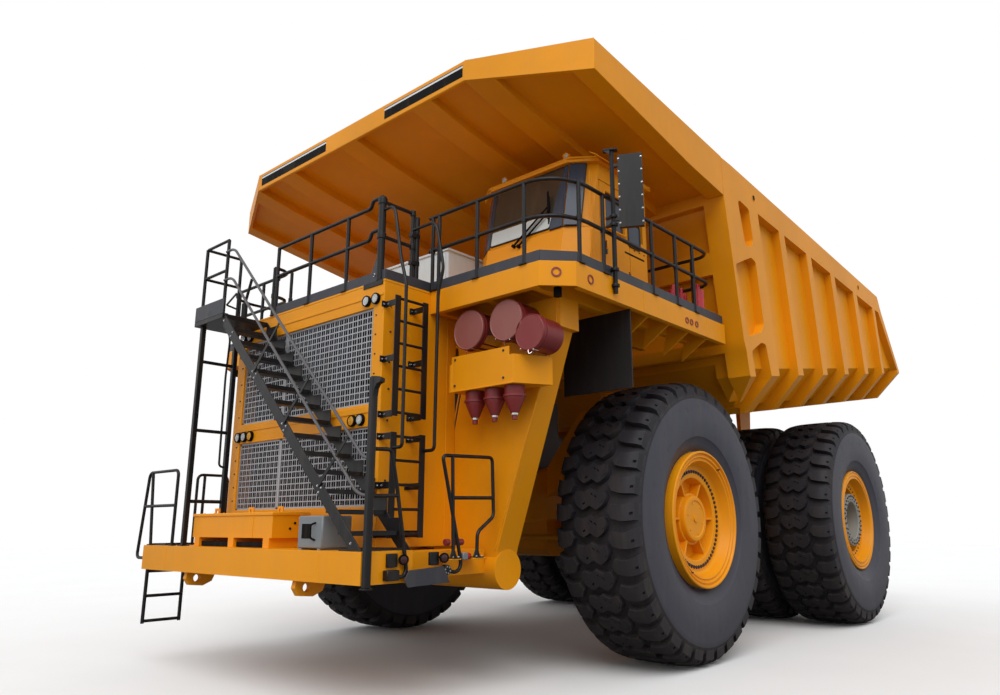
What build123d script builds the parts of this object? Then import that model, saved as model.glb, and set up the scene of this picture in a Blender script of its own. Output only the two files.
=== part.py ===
"""Rigid-frame mining dump truck, as separate pieces at their real size.

Millimetres. X points to the truck's left, Y to the rear and Z up. Every place below is measured
from the ground under the front axle; save() moves the pieces so that the origin lies on the
ground under the middle of the truck's length.
"""
from build123d import *
from math import atan2, cos, pi, radians, sin, tan
import os

os.makedirs("parts", exist_ok=True)

# Overall places along the truck
wheelbase = 5490
front_reach = 4655      # bumper's face ahead of the front axle
rear_reach = 8819       # bed's tail behind the front axle
seat_gap = 0.3          # left between pieces that seat on each other
running_gap = 12        # left between pieces that move past each other
bearing_gap = 0.5       # left in bearings and at thrust faces

# Tyres and rims
tyre_radius = 1800
tyre_width = 1170
bead_radius = 790
rim_flange_radius = 865
rim_width = 900
front_tyre_x = 2777
rear_outer_tyre_x = 3053
rear_inner_tyre_x = 1733
lug_count = 24
groove_width = 150
groove_floor = 1735     # radius of the floor between two lugs
drum_radius = 600       # drum that joins the twin rims

# Main frame
rail_x = 720            # middle of each frame rail
rail_width = 260
tube_radius = 216       # torque tube across the front of the frame
tube_y = -2633
tube_z = 1249
tube_half_length = 2262
leg_front_y = -2800
leg_depth = 330
pivot_y = 6750          # bed's hinge
pivot_z = 3060
pivot_ear_radius = 240
pivot_bore_radius = 80
hanger_wall = 90        # plates that hold the hoists' lower ends

# Bumper
bumper_half_width = 2270
bumper_bottom = 1197
bumper_top = 1494
upright_beam_z = 3840   # underside of the beam across the upright's head

# Radiator, deck and cab
radiator_half_width = 1563
radiator_front_y = -3935
radiator_bottom = 1500
radiator_wall = 60
deck_top = 4458
deck_plate = 30
deck_half_width = 3522
deck_front_y = -3243
deck_rear_y = 528
deck_corner = 280       # chamfer at the deck's front corners
fascia_height = 278
fascia_wall = 24
toe_board_height = 127
toe_board_wall = 14
rail_height = 960       # top handrail above the deck
mid_rail_share = 0.55   # middle rail's share of that height
pipe_radius = 24

cab_inner_x = 1200
cab_outer_x = 3050
cab_front_y = -2310
cab_rear_y = -700
cab_corner = 290
cab_wall = 60
cab_sill = 5290
cab_glass_top = 6030
cab_roof_top = 6160
cab_screen_side = 400   # from the cab's sides to the windscreen
cab_window_edge = 90    # frame left beside a window
cab_sill_setback = 140  # windscreen's foot behind the panel's foot
cab_head_setback = 300
cab_roof_reach = 60     # roof's edge past the walls

# Bed
bed_half_width = 3719
bed_reach = bed_half_width + 900   # past the bed's sides, for cuts
bed_wall = 50
bed_front_y = 365       # seam between the bed and its canopy
canopy_front_y = -3448
canopy_half_front = 2289
canopy_corner_y = -2795
canopy_wall = 40

# Steering
kingpin_x = 1950
steer_arm = 700
bed_slope = 9.13        # floor's fall to the front, degrees

bumper_rear_y = -front_reach + 620
side_beam_x = 1750
side_beam_width = 350
hook_x = 1150
hook_width = 70
hook_hole_radius = 45
battery_base = 1600
battery_top = 1870
battery_front_y = -4500
battery_rear_y = -4040
battery_feet = (-1230, -420, 330)
battery_lugs = (-1100, -300, 320)
foot_width = 120
control_base = 1525

# Radiator grille and lamps
radiator_rear_y = -2803
grille_half_width = 1370
grille_y = -3895
slat_pitch = 91
slat_count = 29
slat_width = 14
slat_depth = 26
lamp_radius = 62
lamp_places = (
    # x, z
    (1265, 4240), (1430, 4240), (-1265, 4240), (-1430, 4240),
    (1090, 2875), (1240, 2875), (-1380, 2875), (-1230, 2875), (-1080, 2875),
)

# Deck carriers
frame_head_z = 4180
deck_beams = (1600, 2400, 3080)
deck_beam_width = 90
deck_notch_x = 2900     # inner edge of the deck's tongue beside the bed
deck_notch_y = 150
rail_rear_y = 250       # rear cross rail of the deck's handrails
gate_drop = 400         # middle rail below the top rail over the radiator

# Stair and landing
stair_bottom_x = 2200
stair_top_x = -780
stair_sides = (-4600, -3990)    # front and rear stringer
stringer_depth = 230
stringer_wall = 14
tread_count = 13
landing_z = 4350
landing_x = -1450
landing_front_y = -4615
landing_rear_y = -3990
landing_plate = 40
landing_board = 190     # height of the landing's toe boards
landing_board_wall = 12
landing_post = 60
stair_rail_rise = 960
stair_mid_rise = 520
tread_depth = 230
tread_wall = 24

# Cab details
cab_corner_depth = 210
cab_floor = 90
window_low = 5330
window_high = 5970
door_front_y = -1800
door_rear_y = -1120
door_low = 4600
door_high = 5985
door_gap = 12
hinge_ring_radius = 26
hinge_ring_height = 50
hinge_pin_radius = 12
hinge_x = cab_outer_x + hinge_ring_radius
hinge_y = door_rear_y - 6
hinge_heights = (4780, 5700)
glass_inset = 25
glass_wall = 10
seat_x = 2300
steering_wheel_radius = 220

# Cabinets and air cleaners
cabinet_left_x = -1350
cabinet_right_x = 1120
cabinet_front_y = -2550
cabinet_rear_y = -1500
cabinet_top = 5300
cabinet_door_seams = (-730, -110, 510)
cabinet_lid = 30
grid_top = 5250
grid_width = 900
grid_slots = 6
grid_slot_pitch = 105
bottle_radius = 80
bottle_height = 420
bottle_neck_radius = 28
bottle_neck = 90
air_cleaner_length = 340
air_cleaner_places = (
    # x, z, radius
    (2126, 3907, 235),
    (2694, 3921, 235),
    (3036, 3726, 200),
)
bowl_places = (2140, 2440, 2730)
bowl_y = -3050
bowl_radius = 112
bowl_collar_z = 3060
bowl_cone_z = 2900
bowl_foot_z = 2830
bracket_floor = 3215
bracket_top = 3515
bracket_wall = 15
bracket_head = 3610     # top of its raised front plate
mirror_y = -2260
mirror_turn = 28        # degrees
mirror_rise = 575       # plate's foot above the deck
mirror_height = 900
mirror_width = 280
mirror_depth = 60
mirror_arms = (90, 760)
arm_size = 36

# Bed details
bed_knee_rise = 505
bed_knee_run = 502
bed_rib_depth = 130
bed_rib_places = (
    # y at the knee, width
    (1760, 225), (2795, 225), (3980, 225), (5175, 225), (6450, 225), (7650, 160),
)
bed_front_pockets = (
    # corners of each recess in the side's front, y and z
    ((824, 6425), (1217, 6372), (1285, 5900), (1200, 5770), (986, 5731)),
    ((600, 5340), (1160, 5590), (1320, 5560), (1446, 4620), (1330, 4480), (872, 4326)),
    ((940, 4125), (1298, 4313), (1458, 4315), (1600, 3815), (1720, 3000), (1560, 3000), (1020, 3780)),
)
pocket_corner = 70
bed_front_bays = (
    # z bottom, z top of the front wall's bays between its cross ribs
    (2900, 4110),
    (4290, 5240),
    (5560, 6250),
)
bed_bevel_half = 3150   # half width of the floor's bevel over the steered tyres
canopy_edge = 250       # width of the canopy's edge beams
canopy_recess = 110     # depth of the bays under the canopy
canopy_bays = (
    # x inside, x outside of each bay on one side
    (180, 1320),
    (1680, 2280),
    (2630, bed_half_width - canopy_edge),
)
pivot_pin_radius = 79.95

# Hoists, between the frame and the rear tyres
hoist_x = 995
hoist_base_y = 2750
hoist_base_z = 1450
hoist_top_y = 3550
hoist_top_z = 3560

# Tanks behind the front wheels
tank_inner_x = 1180
tank_width = 1050
tank_front_y = wheelbase - 3150
tank_middle_z = 1700
tank_height = 1100

# Steering and rear suspension
spindle_radius = 150
rear_strut_x = 985
axle_half = 1090        # half width of the rear axle housing
knuckle_top = 2330
knuckle_foot = 1400
steer_arm_height = 80
steer_pin_radius = 40
tie_rod_eye = 85
tie_rod_radius = 45
strut_radius = 175
strut_height = 1250
hoist_pin_radius = 45

truck_middle = (rear_reach - front_reach) / 2


def side(x):
    """Plane seen from the truck's left: local x runs to the rear, local y up."""
    return Plane(origin=(x, 0, 0), x_dir=(0, 1, 0), z_dir=(1, 0, 0))


def face(y):
    """Plane seen from the front: local x runs to the truck's left, local y up, normal to the front."""
    return Plane(origin=(0, y, 0), x_dir=(1, 0, 0), z_dir=(0, -1, 0))


def plan(z):
    """Level plane at height z, seen from above."""
    return Plane(origin=(0, 0, z))


def save(piece, name):
    """Write one piece, moved so that the origin is under the middle of the truck."""
    finished = piece.part.moved(Location((0, -truck_middle, 0)))
    finished.label = name
    export_step(finished, f"parts/{name}.step")


def block(x, y, z, mode=Mode.ADD):
    """Box between two values on each axis, in the part being built."""
    low = Vector(min(x), min(y), min(z))
    high = Vector(max(x), max(y), max(z))
    spans = high - low
    with Locations((low + high) * 0.5):
        Box(spans.X, spans.Y, spans.Z, mode=mode)


def prism(points, plane, depth, mode=Mode.ADD, both=False):
    """Closed outline drawn on a plane and extruded along the plane's normal."""
    with BuildSketch(plane) as outline:
        with BuildLine():
            Polyline(*points, close=True)
        make_face()
    extrude(outline.sketch, amount=depth, both=both, mode=mode)


def pipe(*points, radius=None, sides=6):
    """Bent pipe along straight runs with mitred corners."""
    radius = radius or pipe_radius
    with BuildLine() as route:
        Polyline(*points)
    start = Vector(*points[0])
    with BuildSketch(Plane(origin=start, z_dir=Vector(*points[1]) - start)) as section:
        RegularPolygon(radius, sides)
    sweep(section.sketch, path=route.line, transition=Transition.RIGHT)


def mirrored():
    """Repeat what the part holds on the truck's other side."""
    mirror(about=Plane.YZ)


def floor_z(y):
    """Height of the bed's underside at the place y."""
    return 3104 + y * tan(radians(bed_slope)) * 0.977


# Main frame: box rails, cross members, torque tube and the upright that carries the deck
rail_top = (
    # y, z: top edge from front to rear
    (-3900, 1499), (-2300, 1499), (-1500, 2250), (600, 2700), (4300, 3020), (6900, 3200),
)
rail_bottom = (
    # y, z: bottom edge from rear to front
    (7080, 2900), (6500, 2780), (4400, 2600), (3500, 2100), (-800, 1750), (-1700, 1560), (-2300, 1260),
    (-3900, 1260),
)

cross_member_depth = 300
cross_members = (
    # y front, z bottom, height
    (-1500, 1600, 420), (1900, 1950, 480), (3600, 2300, 420), (6500, 2800, 300),
)
hanger = (
    # y, z of the plates that hold the hoists
    (2480, 1990), (2640, 1350), (2860, 1350), (3020, 2060),
)


def rail_top_z(y):
    """Height of the frame rail's top edge at the place y."""
    for (y1, z1), (y2, z2) in zip(rail_top, rail_top[1:]):
        if y1 <= y <= y2:
            return z1 + (z2 - z1) * (y - y1) / (y2 - y1)


with BuildPart() as frame:
    with BuildSketch(side(rail_x - rail_width / 2)):
        with BuildLine():
            Polyline(*rail_top, *rail_bottom, close=True)
        make_face()
    extrude(amount=rail_width)
    mirrored()
    for y, z, height in cross_members:
        block((-rail_x, rail_x), (y, y + cross_member_depth), (z, z + height))
    # hangers and pins that hold the hoists' lower ends
    for sign in (-1, 1):
        prism(hanger, side(sign * (rail_x + rail_width / 2) - (hanger_wall if sign > 0 else 0)), hanger_wall)
        with BuildSketch(side(sign * (rail_x + rail_width / 2 - 60))) as pin:
            with Locations((hoist_base_y, hoist_base_z)):
                Circle(hoist_pin_radius)
        extrude(pin.sketch, amount=sign * (hoist_x - rail_x - rail_width / 2 + 130))
    # ears at the tail that hold the bed's hinge pin
    with BuildSketch(side(-rail_x - rail_width / 2)):
        with Locations((pivot_y, pivot_z)):
            Circle(pivot_ear_radius)
    extrude(amount=rail_width)
    with BuildSketch(side(rail_x - rail_width / 2)):
        with Locations((pivot_y, pivot_z)):
            Circle(pivot_ear_radius)
    extrude(amount=rail_width)
    with BuildSketch(side(-rail_x - rail_width)):
        with Locations((pivot_y, pivot_z)):
            Circle(pivot_bore_radius)
    extrude(amount=2 * (rail_x + rail_width), mode=Mode.SUBTRACT)
save(frame, "frame")

# Upright ahead of the front wheels, from the torque tube to the deck
leg_outline = (
    # x, z: one leg, widening outwards to the deck
    (1240, 1400), (2200, 1200), (2262, 1470), (3180, 4100), (3180, frame_head_z), (1563, frame_head_z),
    (1660, 3270), (1240, 1490),
)
with BuildPart() as front_upright:
    prism(leg_outline, face(leg_front_y + leg_depth), leg_depth)
    mirrored()
    with BuildSketch(side(-tube_half_length)) as tube_section:
        with Locations((tube_y, tube_z)):
            Circle(tube_radius)
    extrude(tube_section.sketch, amount=2 * tube_half_length)
    # beam across its top
    block((-3180, 3180), (leg_front_y, leg_front_y + leg_depth), (upright_beam_z, frame_head_z))
    # notches where the frame rails pass
    rail_slot = rail_width / 2 + seat_gap
    for x in (-rail_x, rail_x):
        block((x - rail_slot, x + rail_slot), (tube_y - 400, tube_y + 400),
              (1260 - seat_gap, 1499 + seat_gap), mode=Mode.SUBTRACT)
save(front_upright, "front_upright")

# Front bumper with side beams, tow hooks and ladder brackets
with BuildPart() as bumper:
    block((-bumper_half_width, bumper_half_width), (-front_reach, bumper_rear_y), (bumper_bottom, bumper_top))
    block((side_beam_x, side_beam_x + side_beam_width),
          (bumper_rear_y, tube_y - tube_radius - seat_gap), (bumper_bottom + 20, bumper_top - 20))
    hook_outline = (
        # y, z
        (-4600, bumper_bottom), (-4620, 1120), (-4570, 1045), (-4400, 1030), (-4290, 1080),
        (-4240, bumper_bottom),
    )
    prism(hook_outline, side(hook_x - hook_width / 2), hook_width)
    with BuildSketch(side(hook_x - hook_width / 2)):
        with Locations((-4480, 1122)):
            Circle(hook_hole_radius)
    extrude(amount=hook_width, mode=Mode.SUBTRACT)
    mirrored()
save(bumper, "bumper")

# Boxes that stand on the bumper
with BuildPart() as battery_box:
    block((-1280, 500), (battery_front_y, battery_rear_y), (battery_base, battery_top))
    for x in battery_feet:
        block((x, x + foot_width), (battery_front_y, battery_rear_y), (bumper_top + seat_gap, battery_base))
    # lifting lugs along the lid
    for x in battery_lugs:
        with BuildSketch(face(-4290)):
            with Locations((x, battery_top + 30)):
                Rectangle(110, 90)
                Circle(24, mode=Mode.SUBTRACT)
        extrude(amount=16)
save(battery_box, "battery_box")

with BuildPart() as control_box:
    block((1120, 1540), (-4580, -4220), (control_base, 1830))
    for x in (1140, 1480):
        block((x, x + 40), (-4580, -4220), (bumper_top + seat_gap, control_base))
    fillet(control_box.edges().filter_by(Axis.Z).group_by(SortBy.LENGTH)[-1], 30)
save(control_box, "control_box")

# Radiator: an open housing, a slatted grille and the core behind it
grille_windows = (
    # z bottom, z top
    (1930, 2790),
    (3045, 4150),
)
with BuildPart() as radiator_housing:
    block((-radiator_half_width, radiator_half_width), (radiator_front_y, radiator_rear_y),
          (radiator_bottom, deck_top - deck_plate - seat_gap))
    inner = radiator_half_width - radiator_wall
    block((-inner, inner), (radiator_front_y + radiator_wall, radiator_rear_y),
          (radiator_bottom + radiator_wall, deck_top - deck_plate - radiator_wall), mode=Mode.SUBTRACT)
    for low, high in grille_windows:
        block((-grille_half_width, grille_half_width), (radiator_front_y, radiator_front_y + radiator_wall),
              (low, high), mode=Mode.SUBTRACT)
save(radiator_housing, "radiator_housing")

with BuildPart() as radiator_grille:
    reach = grille_half_width - seat_gap
    for low, high in grille_windows:
        block((-reach, reach), (grille_y, grille_y + 8), (low + seat_gap, high - seat_gap))
        with BuildSketch(face(grille_y)):
            with Locations((0, (low + high) / 2)):
                with GridLocations(slat_pitch, 1, slat_count, 1):
                    Rectangle(slat_width, high - low - 2 * seat_gap)
        extrude(amount=slat_depth)
save(radiator_grille, "radiator_grille")

with BuildPart() as radiator_core:
    block((-1350, 1350), (-3750, -3400), (radiator_bottom + radiator_wall + seat_gap, 4200))
save(radiator_core, "radiator_core")

engine_seat = rail_x - rail_width / 2 - seat_gap
with BuildPart() as engine:
    prism(((-2440, 2050), (1750, 2050), (1750, 3000), (500, 3100), (500, 3650), (-2440, 3650)), side(-560),
          1120)
    for y in (-2000, 1000):
        block((-engine_seat, engine_seat), (y, y + 200), (1960, 2100))
save(engine, "engine")

# Deck: plate, fascia round the outside and beams that rest on the upright
with BuildPart() as deck:
    deck_outline = (
        # x, y of the left half, from the middle of the front
        (0, radiator_front_y), (radiator_half_width, radiator_front_y), (radiator_half_width, deck_front_y),
        (deck_half_width - deck_corner, deck_front_y), (deck_half_width, deck_front_y + deck_corner),
        (deck_half_width, deck_rear_y), (deck_notch_x, deck_rear_y), (deck_notch_x, deck_notch_y),
        (0, deck_notch_y),
    )
    prism(deck_outline, plan(deck_top - deck_plate), deck_plate)
    fascia_line = deck_outline[2:7]
    with BuildSketch(plan(deck_top - fascia_height)) as fascia:
        with BuildLine():
            Polyline(*fascia_line, (radiator_half_width, deck_rear_y), close=True)
        make_face()
        with BuildLine():
            wall = fascia_wall
            Polyline((radiator_half_width, deck_front_y + wall),
                     (deck_half_width - deck_corner - wall * 0.4, deck_front_y + wall),
                     (deck_half_width - wall, deck_front_y + deck_corner + wall * 0.4),
                     (deck_half_width - wall, deck_rear_y - wall),
                     (deck_notch_x, deck_rear_y - wall), (deck_notch_x, deck_rear_y),
                     (radiator_half_width, deck_rear_y), close=True)
        make_face(mode=Mode.SUBTRACT)
    extrude(fascia.sketch, amount=fascia_height)
    for x in deck_beams:
        block((x, x + deck_beam_width), (deck_front_y + 60, 100),
              (frame_head_z + seat_gap, deck_top - deck_plate))
    mirrored()
save(deck, "deck")

# Handrails and toe boards round the deck
def toe_boards(points):
    """Upright boards along the deck's edge."""
    for (x1, y1), (x2, y2) in zip(points, points[1:]):
        run = Vector(x2 - x1, y2 - y1)
        board = Plane(origin=(x1, y1, deck_top + seat_gap), x_dir=(run.X, run.Y, 0), z_dir=(0, 0, 1))
        with BuildSketch(board) as strip:
            with Locations((run.length / 2, 0)):
                Rectangle(run.length, toe_board_wall)
        extrude(strip.sketch, amount=toe_board_height)


def deck_rails(points, posts):
    """Two level rails along points, and posts under them."""
    base = deck_top + seat_gap
    for level in (rail_height, rail_height * mid_rail_share):
        pipe(*[(x, y, base + level) for x, y in points])
    for x, y in posts:
        pipe((x, y, base), (x, y, base + rail_height))


deck_edge = deck_half_width - 25
front_rail_y = deck_front_y + 25
corner_rail_y = deck_front_y + deck_corner + 60
grille_rail_y = radiator_front_y + 30
grille_rail_z = deck_top + rail_height - 10
rail_step = 90          # rise of the radiator's rail at the gate's post
gate_x = 1430
gate_rear_y = -3440
with BuildPart() as handrail_left:
    toe_boards(((-764, grille_rail_y), (1530, grille_rail_y), (1530, front_rail_y), (3230, front_rail_y),
                (deck_edge, corner_rail_y), (deck_edge, deck_rear_y - 20)))
    left_posts = [(x, front_rail_y) for x in (1560, 1670, 2310, 3020)]
    left_posts += [(deck_edge, y) for y in (-2857, -2400, -1340, -750, -280)]
    deck_rails(((1500, front_rail_y), (3230, front_rail_y), (deck_edge, corner_rail_y),
                (deck_edge, rail_rear_y),
                (2480, rail_rear_y)), (*left_posts, (3210, rail_rear_y)))
    # over the radiator, with a step up to the gate's post
    foot = deck_top + seat_gap
    for z in (grille_rail_z, grille_rail_z - gate_drop):
        pipe((-764, grille_rail_y, z), (gate_x - 220, grille_rail_y, z),
             (gate_x - 180, grille_rail_y, z + rail_step),
             (gate_x, grille_rail_y, z + rail_step))
    for x in (-764, 7, 783):
        pipe((x, grille_rail_y, foot), (x, grille_rail_y, grille_rail_z))
    pipe((gate_x, grille_rail_y, foot), (gate_x, grille_rail_y, grille_rail_z + rail_step), radius=44)
    # gate beside the ladder, on its own post
    for z in (grille_rail_z + 30, grille_rail_z - gate_drop):
        pipe((gate_x, grille_rail_y, z), (gate_x, gate_rear_y, z))
    pipe((gate_x, gate_rear_y, foot + 90), (gate_x, gate_rear_y, grille_rail_z + 30))
    pipe((gate_x, gate_rear_y + 70, foot), (gate_x, gate_rear_y + 70, grille_rail_z), radius=34)
    for z in (grille_rail_z - 250, grille_rail_z - 600):
        pipe((gate_x, gate_rear_y, z), (gate_x, gate_rear_y + 70, z))
save(handrail_left, "handrail_left")

with BuildPart() as handrail_right:
    right_line = ((-1535, -3500), (-1535, front_rail_y), (-3230, front_rail_y), (-deck_edge, corner_rail_y),
                  (-deck_edge, rail_rear_y))
    right_posts = [(-1535, -3500)] + [(-x, front_rail_y) for x in (1535, 2310, 3020)]
    right_posts += [(-deck_edge, y) for y in (-2857, -2000, -1000, -280)]
    toe_boards(right_line)
    deck_rails((*right_line, (-2480, rail_rear_y)), (*right_posts, (-3210, rail_rear_y)))
save(handrail_right, "handrail_right")

# Stair across the radiator, its landing and its handrails
stair_run = stair_bottom_x - stair_top_x
stair_rise = landing_z - bumper_top
stair_slope = atan2(stair_rise, stair_run)
with BuildPart() as stair:
    drop = stringer_depth / cos(stair_slope)
    stringer = (
        # x, z
        (stair_top_x, landing_z - seat_gap), (stair_top_x, landing_z - drop),
        (stair_bottom_x - drop / tan(stair_slope), bumper_top + seat_gap),
        (stair_bottom_x, bumper_top + seat_gap),
    )
    for y in stair_sides:
        prism(stringer, face(y), stringer_wall)
    for step in range(1, tread_count + 1):
        share = step / (tread_count + 1)
        x = stair_bottom_x - stair_run * share
        z = bumper_top + stair_rise * share - 20
        block((x - 20 - tread_depth, x - 20), (stair_sides[0], stair_sides[1] - stringer_wall),
              (z - tread_wall, z))
save(stair, "stair")

with BuildPart() as stair_landing:
    landing_reach = (landing_x, stair_top_x - seat_gap)
    board_reach = (landing_z, landing_z + landing_board)
    block(landing_reach, (landing_front_y, landing_rear_y), (landing_z - landing_plate, landing_z))
    block((landing_x, landing_x + landing_board_wall), (landing_front_y, landing_rear_y), board_reach)
    block(landing_reach, (landing_front_y, landing_front_y + landing_board_wall), board_reach)
    for y in (landing_front_y + 40, landing_rear_y - 120):
        block((landing_x, landing_x + landing_post), (y, y + landing_post),
              (bumper_top + seat_gap, landing_z - landing_plate))
    for z in (2200, 3030, 4030):
        pipe((landing_x + landing_post / 2, landing_front_y + 70, z),
             (landing_x + landing_post / 2, landing_rear_y - 90, z))
save(stair_landing, "stair_landing")

def stair_z(x):
    """Height of the stringers' top edge at the place x."""
    return bumper_top + stair_rise * (stair_bottom_x - x) / stair_run


with BuildPart() as stair_handrails:
    low_x = stair_bottom_x - 120
    high_x = stair_top_x + 30
    for side_y in stair_sides:
        y = side_y - stringer_wall / 2
        for lift in (stair_mid_rise, stair_rail_rise):
            pipe((low_x, y, stair_z(low_x) + lift), (high_x, y, stair_z(high_x) + lift))
        for share in (0, 0.33, 0.66, 1):
            x = low_x + (high_x - low_x) * share
            pipe((x, y, stair_z(x - pipe_radius) + seat_gap), (x, y, stair_z(x) + stair_rail_rise))
    low = landing_z + landing_board
    top = low + 860
    ring = ((stair_top_x - 60, landing_front_y + 40), (landing_x + 40, landing_front_y + 40),
            (landing_x + 40, landing_rear_y - 40))
    for level in (top, (top + low) / 2 + 60):
        pipe(*[(x, y, level) for x, y in ring])
    for x, y in ring:
        pipe((x, y, landing_z + seat_gap), (x, y, top))
save(stair_handrails, "stair_handrails")

# Ladders and grab rails at the corners
rung_pitch = 268
ladder_x = 1735         # side frames of the ladders beside the radiator
ladder_frames = (
    # y front, y rear
    (-3965, -3830),
    (-3570, -3430),
)
ladder_flights = (
    # z bottom, z top, rungs
    (1560, 2680, 5),
    (2860, 4250, 6),
)
with BuildPart() as ladders:
    # hanging ladder at the bumper's right end
    for y in (-4540, -4065):
        pipe((-2350, y, 510), (-2350, y, 1330), (-bumper_half_width - seat_gap, y, 1330))
    for z in (540, 850, 1160):
        pipe((-2350, -4540, z), (-2350, -4065, z))
    for low, high, rungs in ladder_flights:
        for front, rear in ladder_frames:
            block((ladder_x, ladder_x + 50), (front, rear), (low, high))
            for z in (low + 150, high - 150):
                block((radiator_half_width + seat_gap, ladder_x), (rear - 70, rear), (z, z + 60))
        for step in range(rungs):
            z = low + 25 + rung_pitch * step
            pipe((ladder_x + 25, ladder_frames[0][1], z), (ladder_x + 25, ladder_frames[1][0], z))
save(ladders, "ladders")

hoop_z = 2430           # top of the hoops at the bumper
hoop_x = 2300
foot_plate_z = 1400
foot_plate_x = side_beam_x + side_beam_width + seat_gap
with BuildPart() as grab_rails:
    # hoop over the right ladder, one leg leaning out to the bumper's end
    stand = bumper_top + seat_gap
    pipe((-bumper_half_width - seat_gap, -4600, 1330), (-2575, -4600, 1330), (-2418, -4600, hoop_z),
         (-1600, -4600, hoop_z),
         (-1600, -4600, stand))
    pipe((-2200, -4600, stand), (-2200, -4600, stand + 60), (-2330, -4600, hoop_z))
    pipe((-2490, -4600, 1990), (-1600, -4600, 1990))
    # hoops over the plates at the side beams
    pipe((hoop_x, -3390, foot_plate_z - 40), (hoop_x, -3670, 2400), (hoop_x, -3640, hoop_z),
         (hoop_x, -2960, hoop_z),
         (hoop_x, -2930, 1830), (hoop_x, -3167, 1640), (hoop_x, -3180, foot_plate_z - 40))
    pipe((hoop_x, -3520, foot_plate_z - 40), (hoop_x, -3580, hoop_z))
    pipe((hoop_x, -3570, 2000), (hoop_x, -2950, 2000))
    block((foot_plate_x, hoop_x + 30), (-3680, -2900), (foot_plate_z - 40, foot_plate_z))
    pipe((-hoop_x, -4000, foot_plate_z - 40), (-hoop_x, -4000, hoop_z), (-hoop_x, -3560, hoop_z),
         (-hoop_x, -3560, foot_plate_z - 40))
    pipe((-hoop_x, -4000, 2070), (-hoop_x, -3560, 2070))
    block((-foot_plate_x, -hoop_x - 30), (-4020, -3500), (foot_plate_z - 40, foot_plate_z))
    # rail behind the post at the bumper's left end
    pipe((hoop_x, -4509, 2436), (hoop_x, -4380, 2436), (hoop_x, -4320, 2350), (hoop_x, -4160, 1340),
         (bumper_half_width + seat_gap, -4160, 1340))
    pipe((hoop_x, -4509, 2005), (hoop_x, -4264, 2005))
    # long rails beside the ladder, up to the gate
    pipe((ladder_x + 50, -3900, 2650), (1900, -3900, 2650), (1900, -3900, 4300), (1790, -3900, 4650),
         (1660, -3900, 5270),
         (1600, -3900, 5330), (gate_x + 52, -3900, 5330))
    pipe((ladder_x + 50, -3440, 2650), (1890, -3440, 2650), (1890, -3440, 4330), (1990, -3440, 4620),
         (1870, -3440, 5140),
         (1810, -3440, 5220), (gate_x + 34, -3440, 5220))
    # hanging strip and its brackets at the bumper's left end
    strip_x = bumper_half_width + 80
    block((bumper_half_width + seat_gap, strip_x + 50), (-4410, -4280), (1340, 1465))
    block((strip_x - 10, strip_x + 50), (-3880, -3740), (1340, 1465))
    block((strip_x, strip_x + 15), (-4415, -3650), (1170, 1345))
save(grab_rails, "grab_rails")

post_side = bumper_half_width + seat_gap
with BuildPart() as post:
    prism(((post_side, 1170), (2410, 1170), (2410, 3060), (2360, 3140), (2300, 3140), (post_side, 3060)),
          face(-4510), 140)
save(post, "post")

# Cab: a hollow shell with its windows and doorways cut
def cab_plan(inset, front_shift=0):
    """Outline of the cab, x and y, drawn in by inset."""
    front = cab_front_y + front_shift + inset
    return (
        (cab_inner_x + inset, cab_rear_y - inset),
        (cab_inner_x + inset, front + cab_corner_depth - inset * 0.3),
        (cab_inner_x + cab_corner + inset * 0.3, front), (cab_outer_x - cab_corner - inset * 0.3, front),
        (cab_outer_x - inset, front + cab_corner_depth - inset * 0.3),
        (cab_outer_x - inset, cab_rear_y - inset),
    )


def hinge_ring(z, plate_end_y, bore=0):
    """Ring of a door hinge with the plate that holds it to the cab's side."""
    with BuildSketch(plan(z)) as ring:
        with BuildLine():
            Polyline((cab_outer_x, hinge_y), (cab_outer_x, plate_end_y), (cab_outer_x + 16, plate_end_y),
                     (cab_outer_x + hinge_ring_radius, hinge_y), close=True)
        make_face()
        with Locations((hinge_x, hinge_y)):
            Circle(hinge_ring_radius)
            if bore:
                Circle(bore, mode=Mode.SUBTRACT)
    extrude(ring.sketch, amount=hinge_ring_height)


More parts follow.
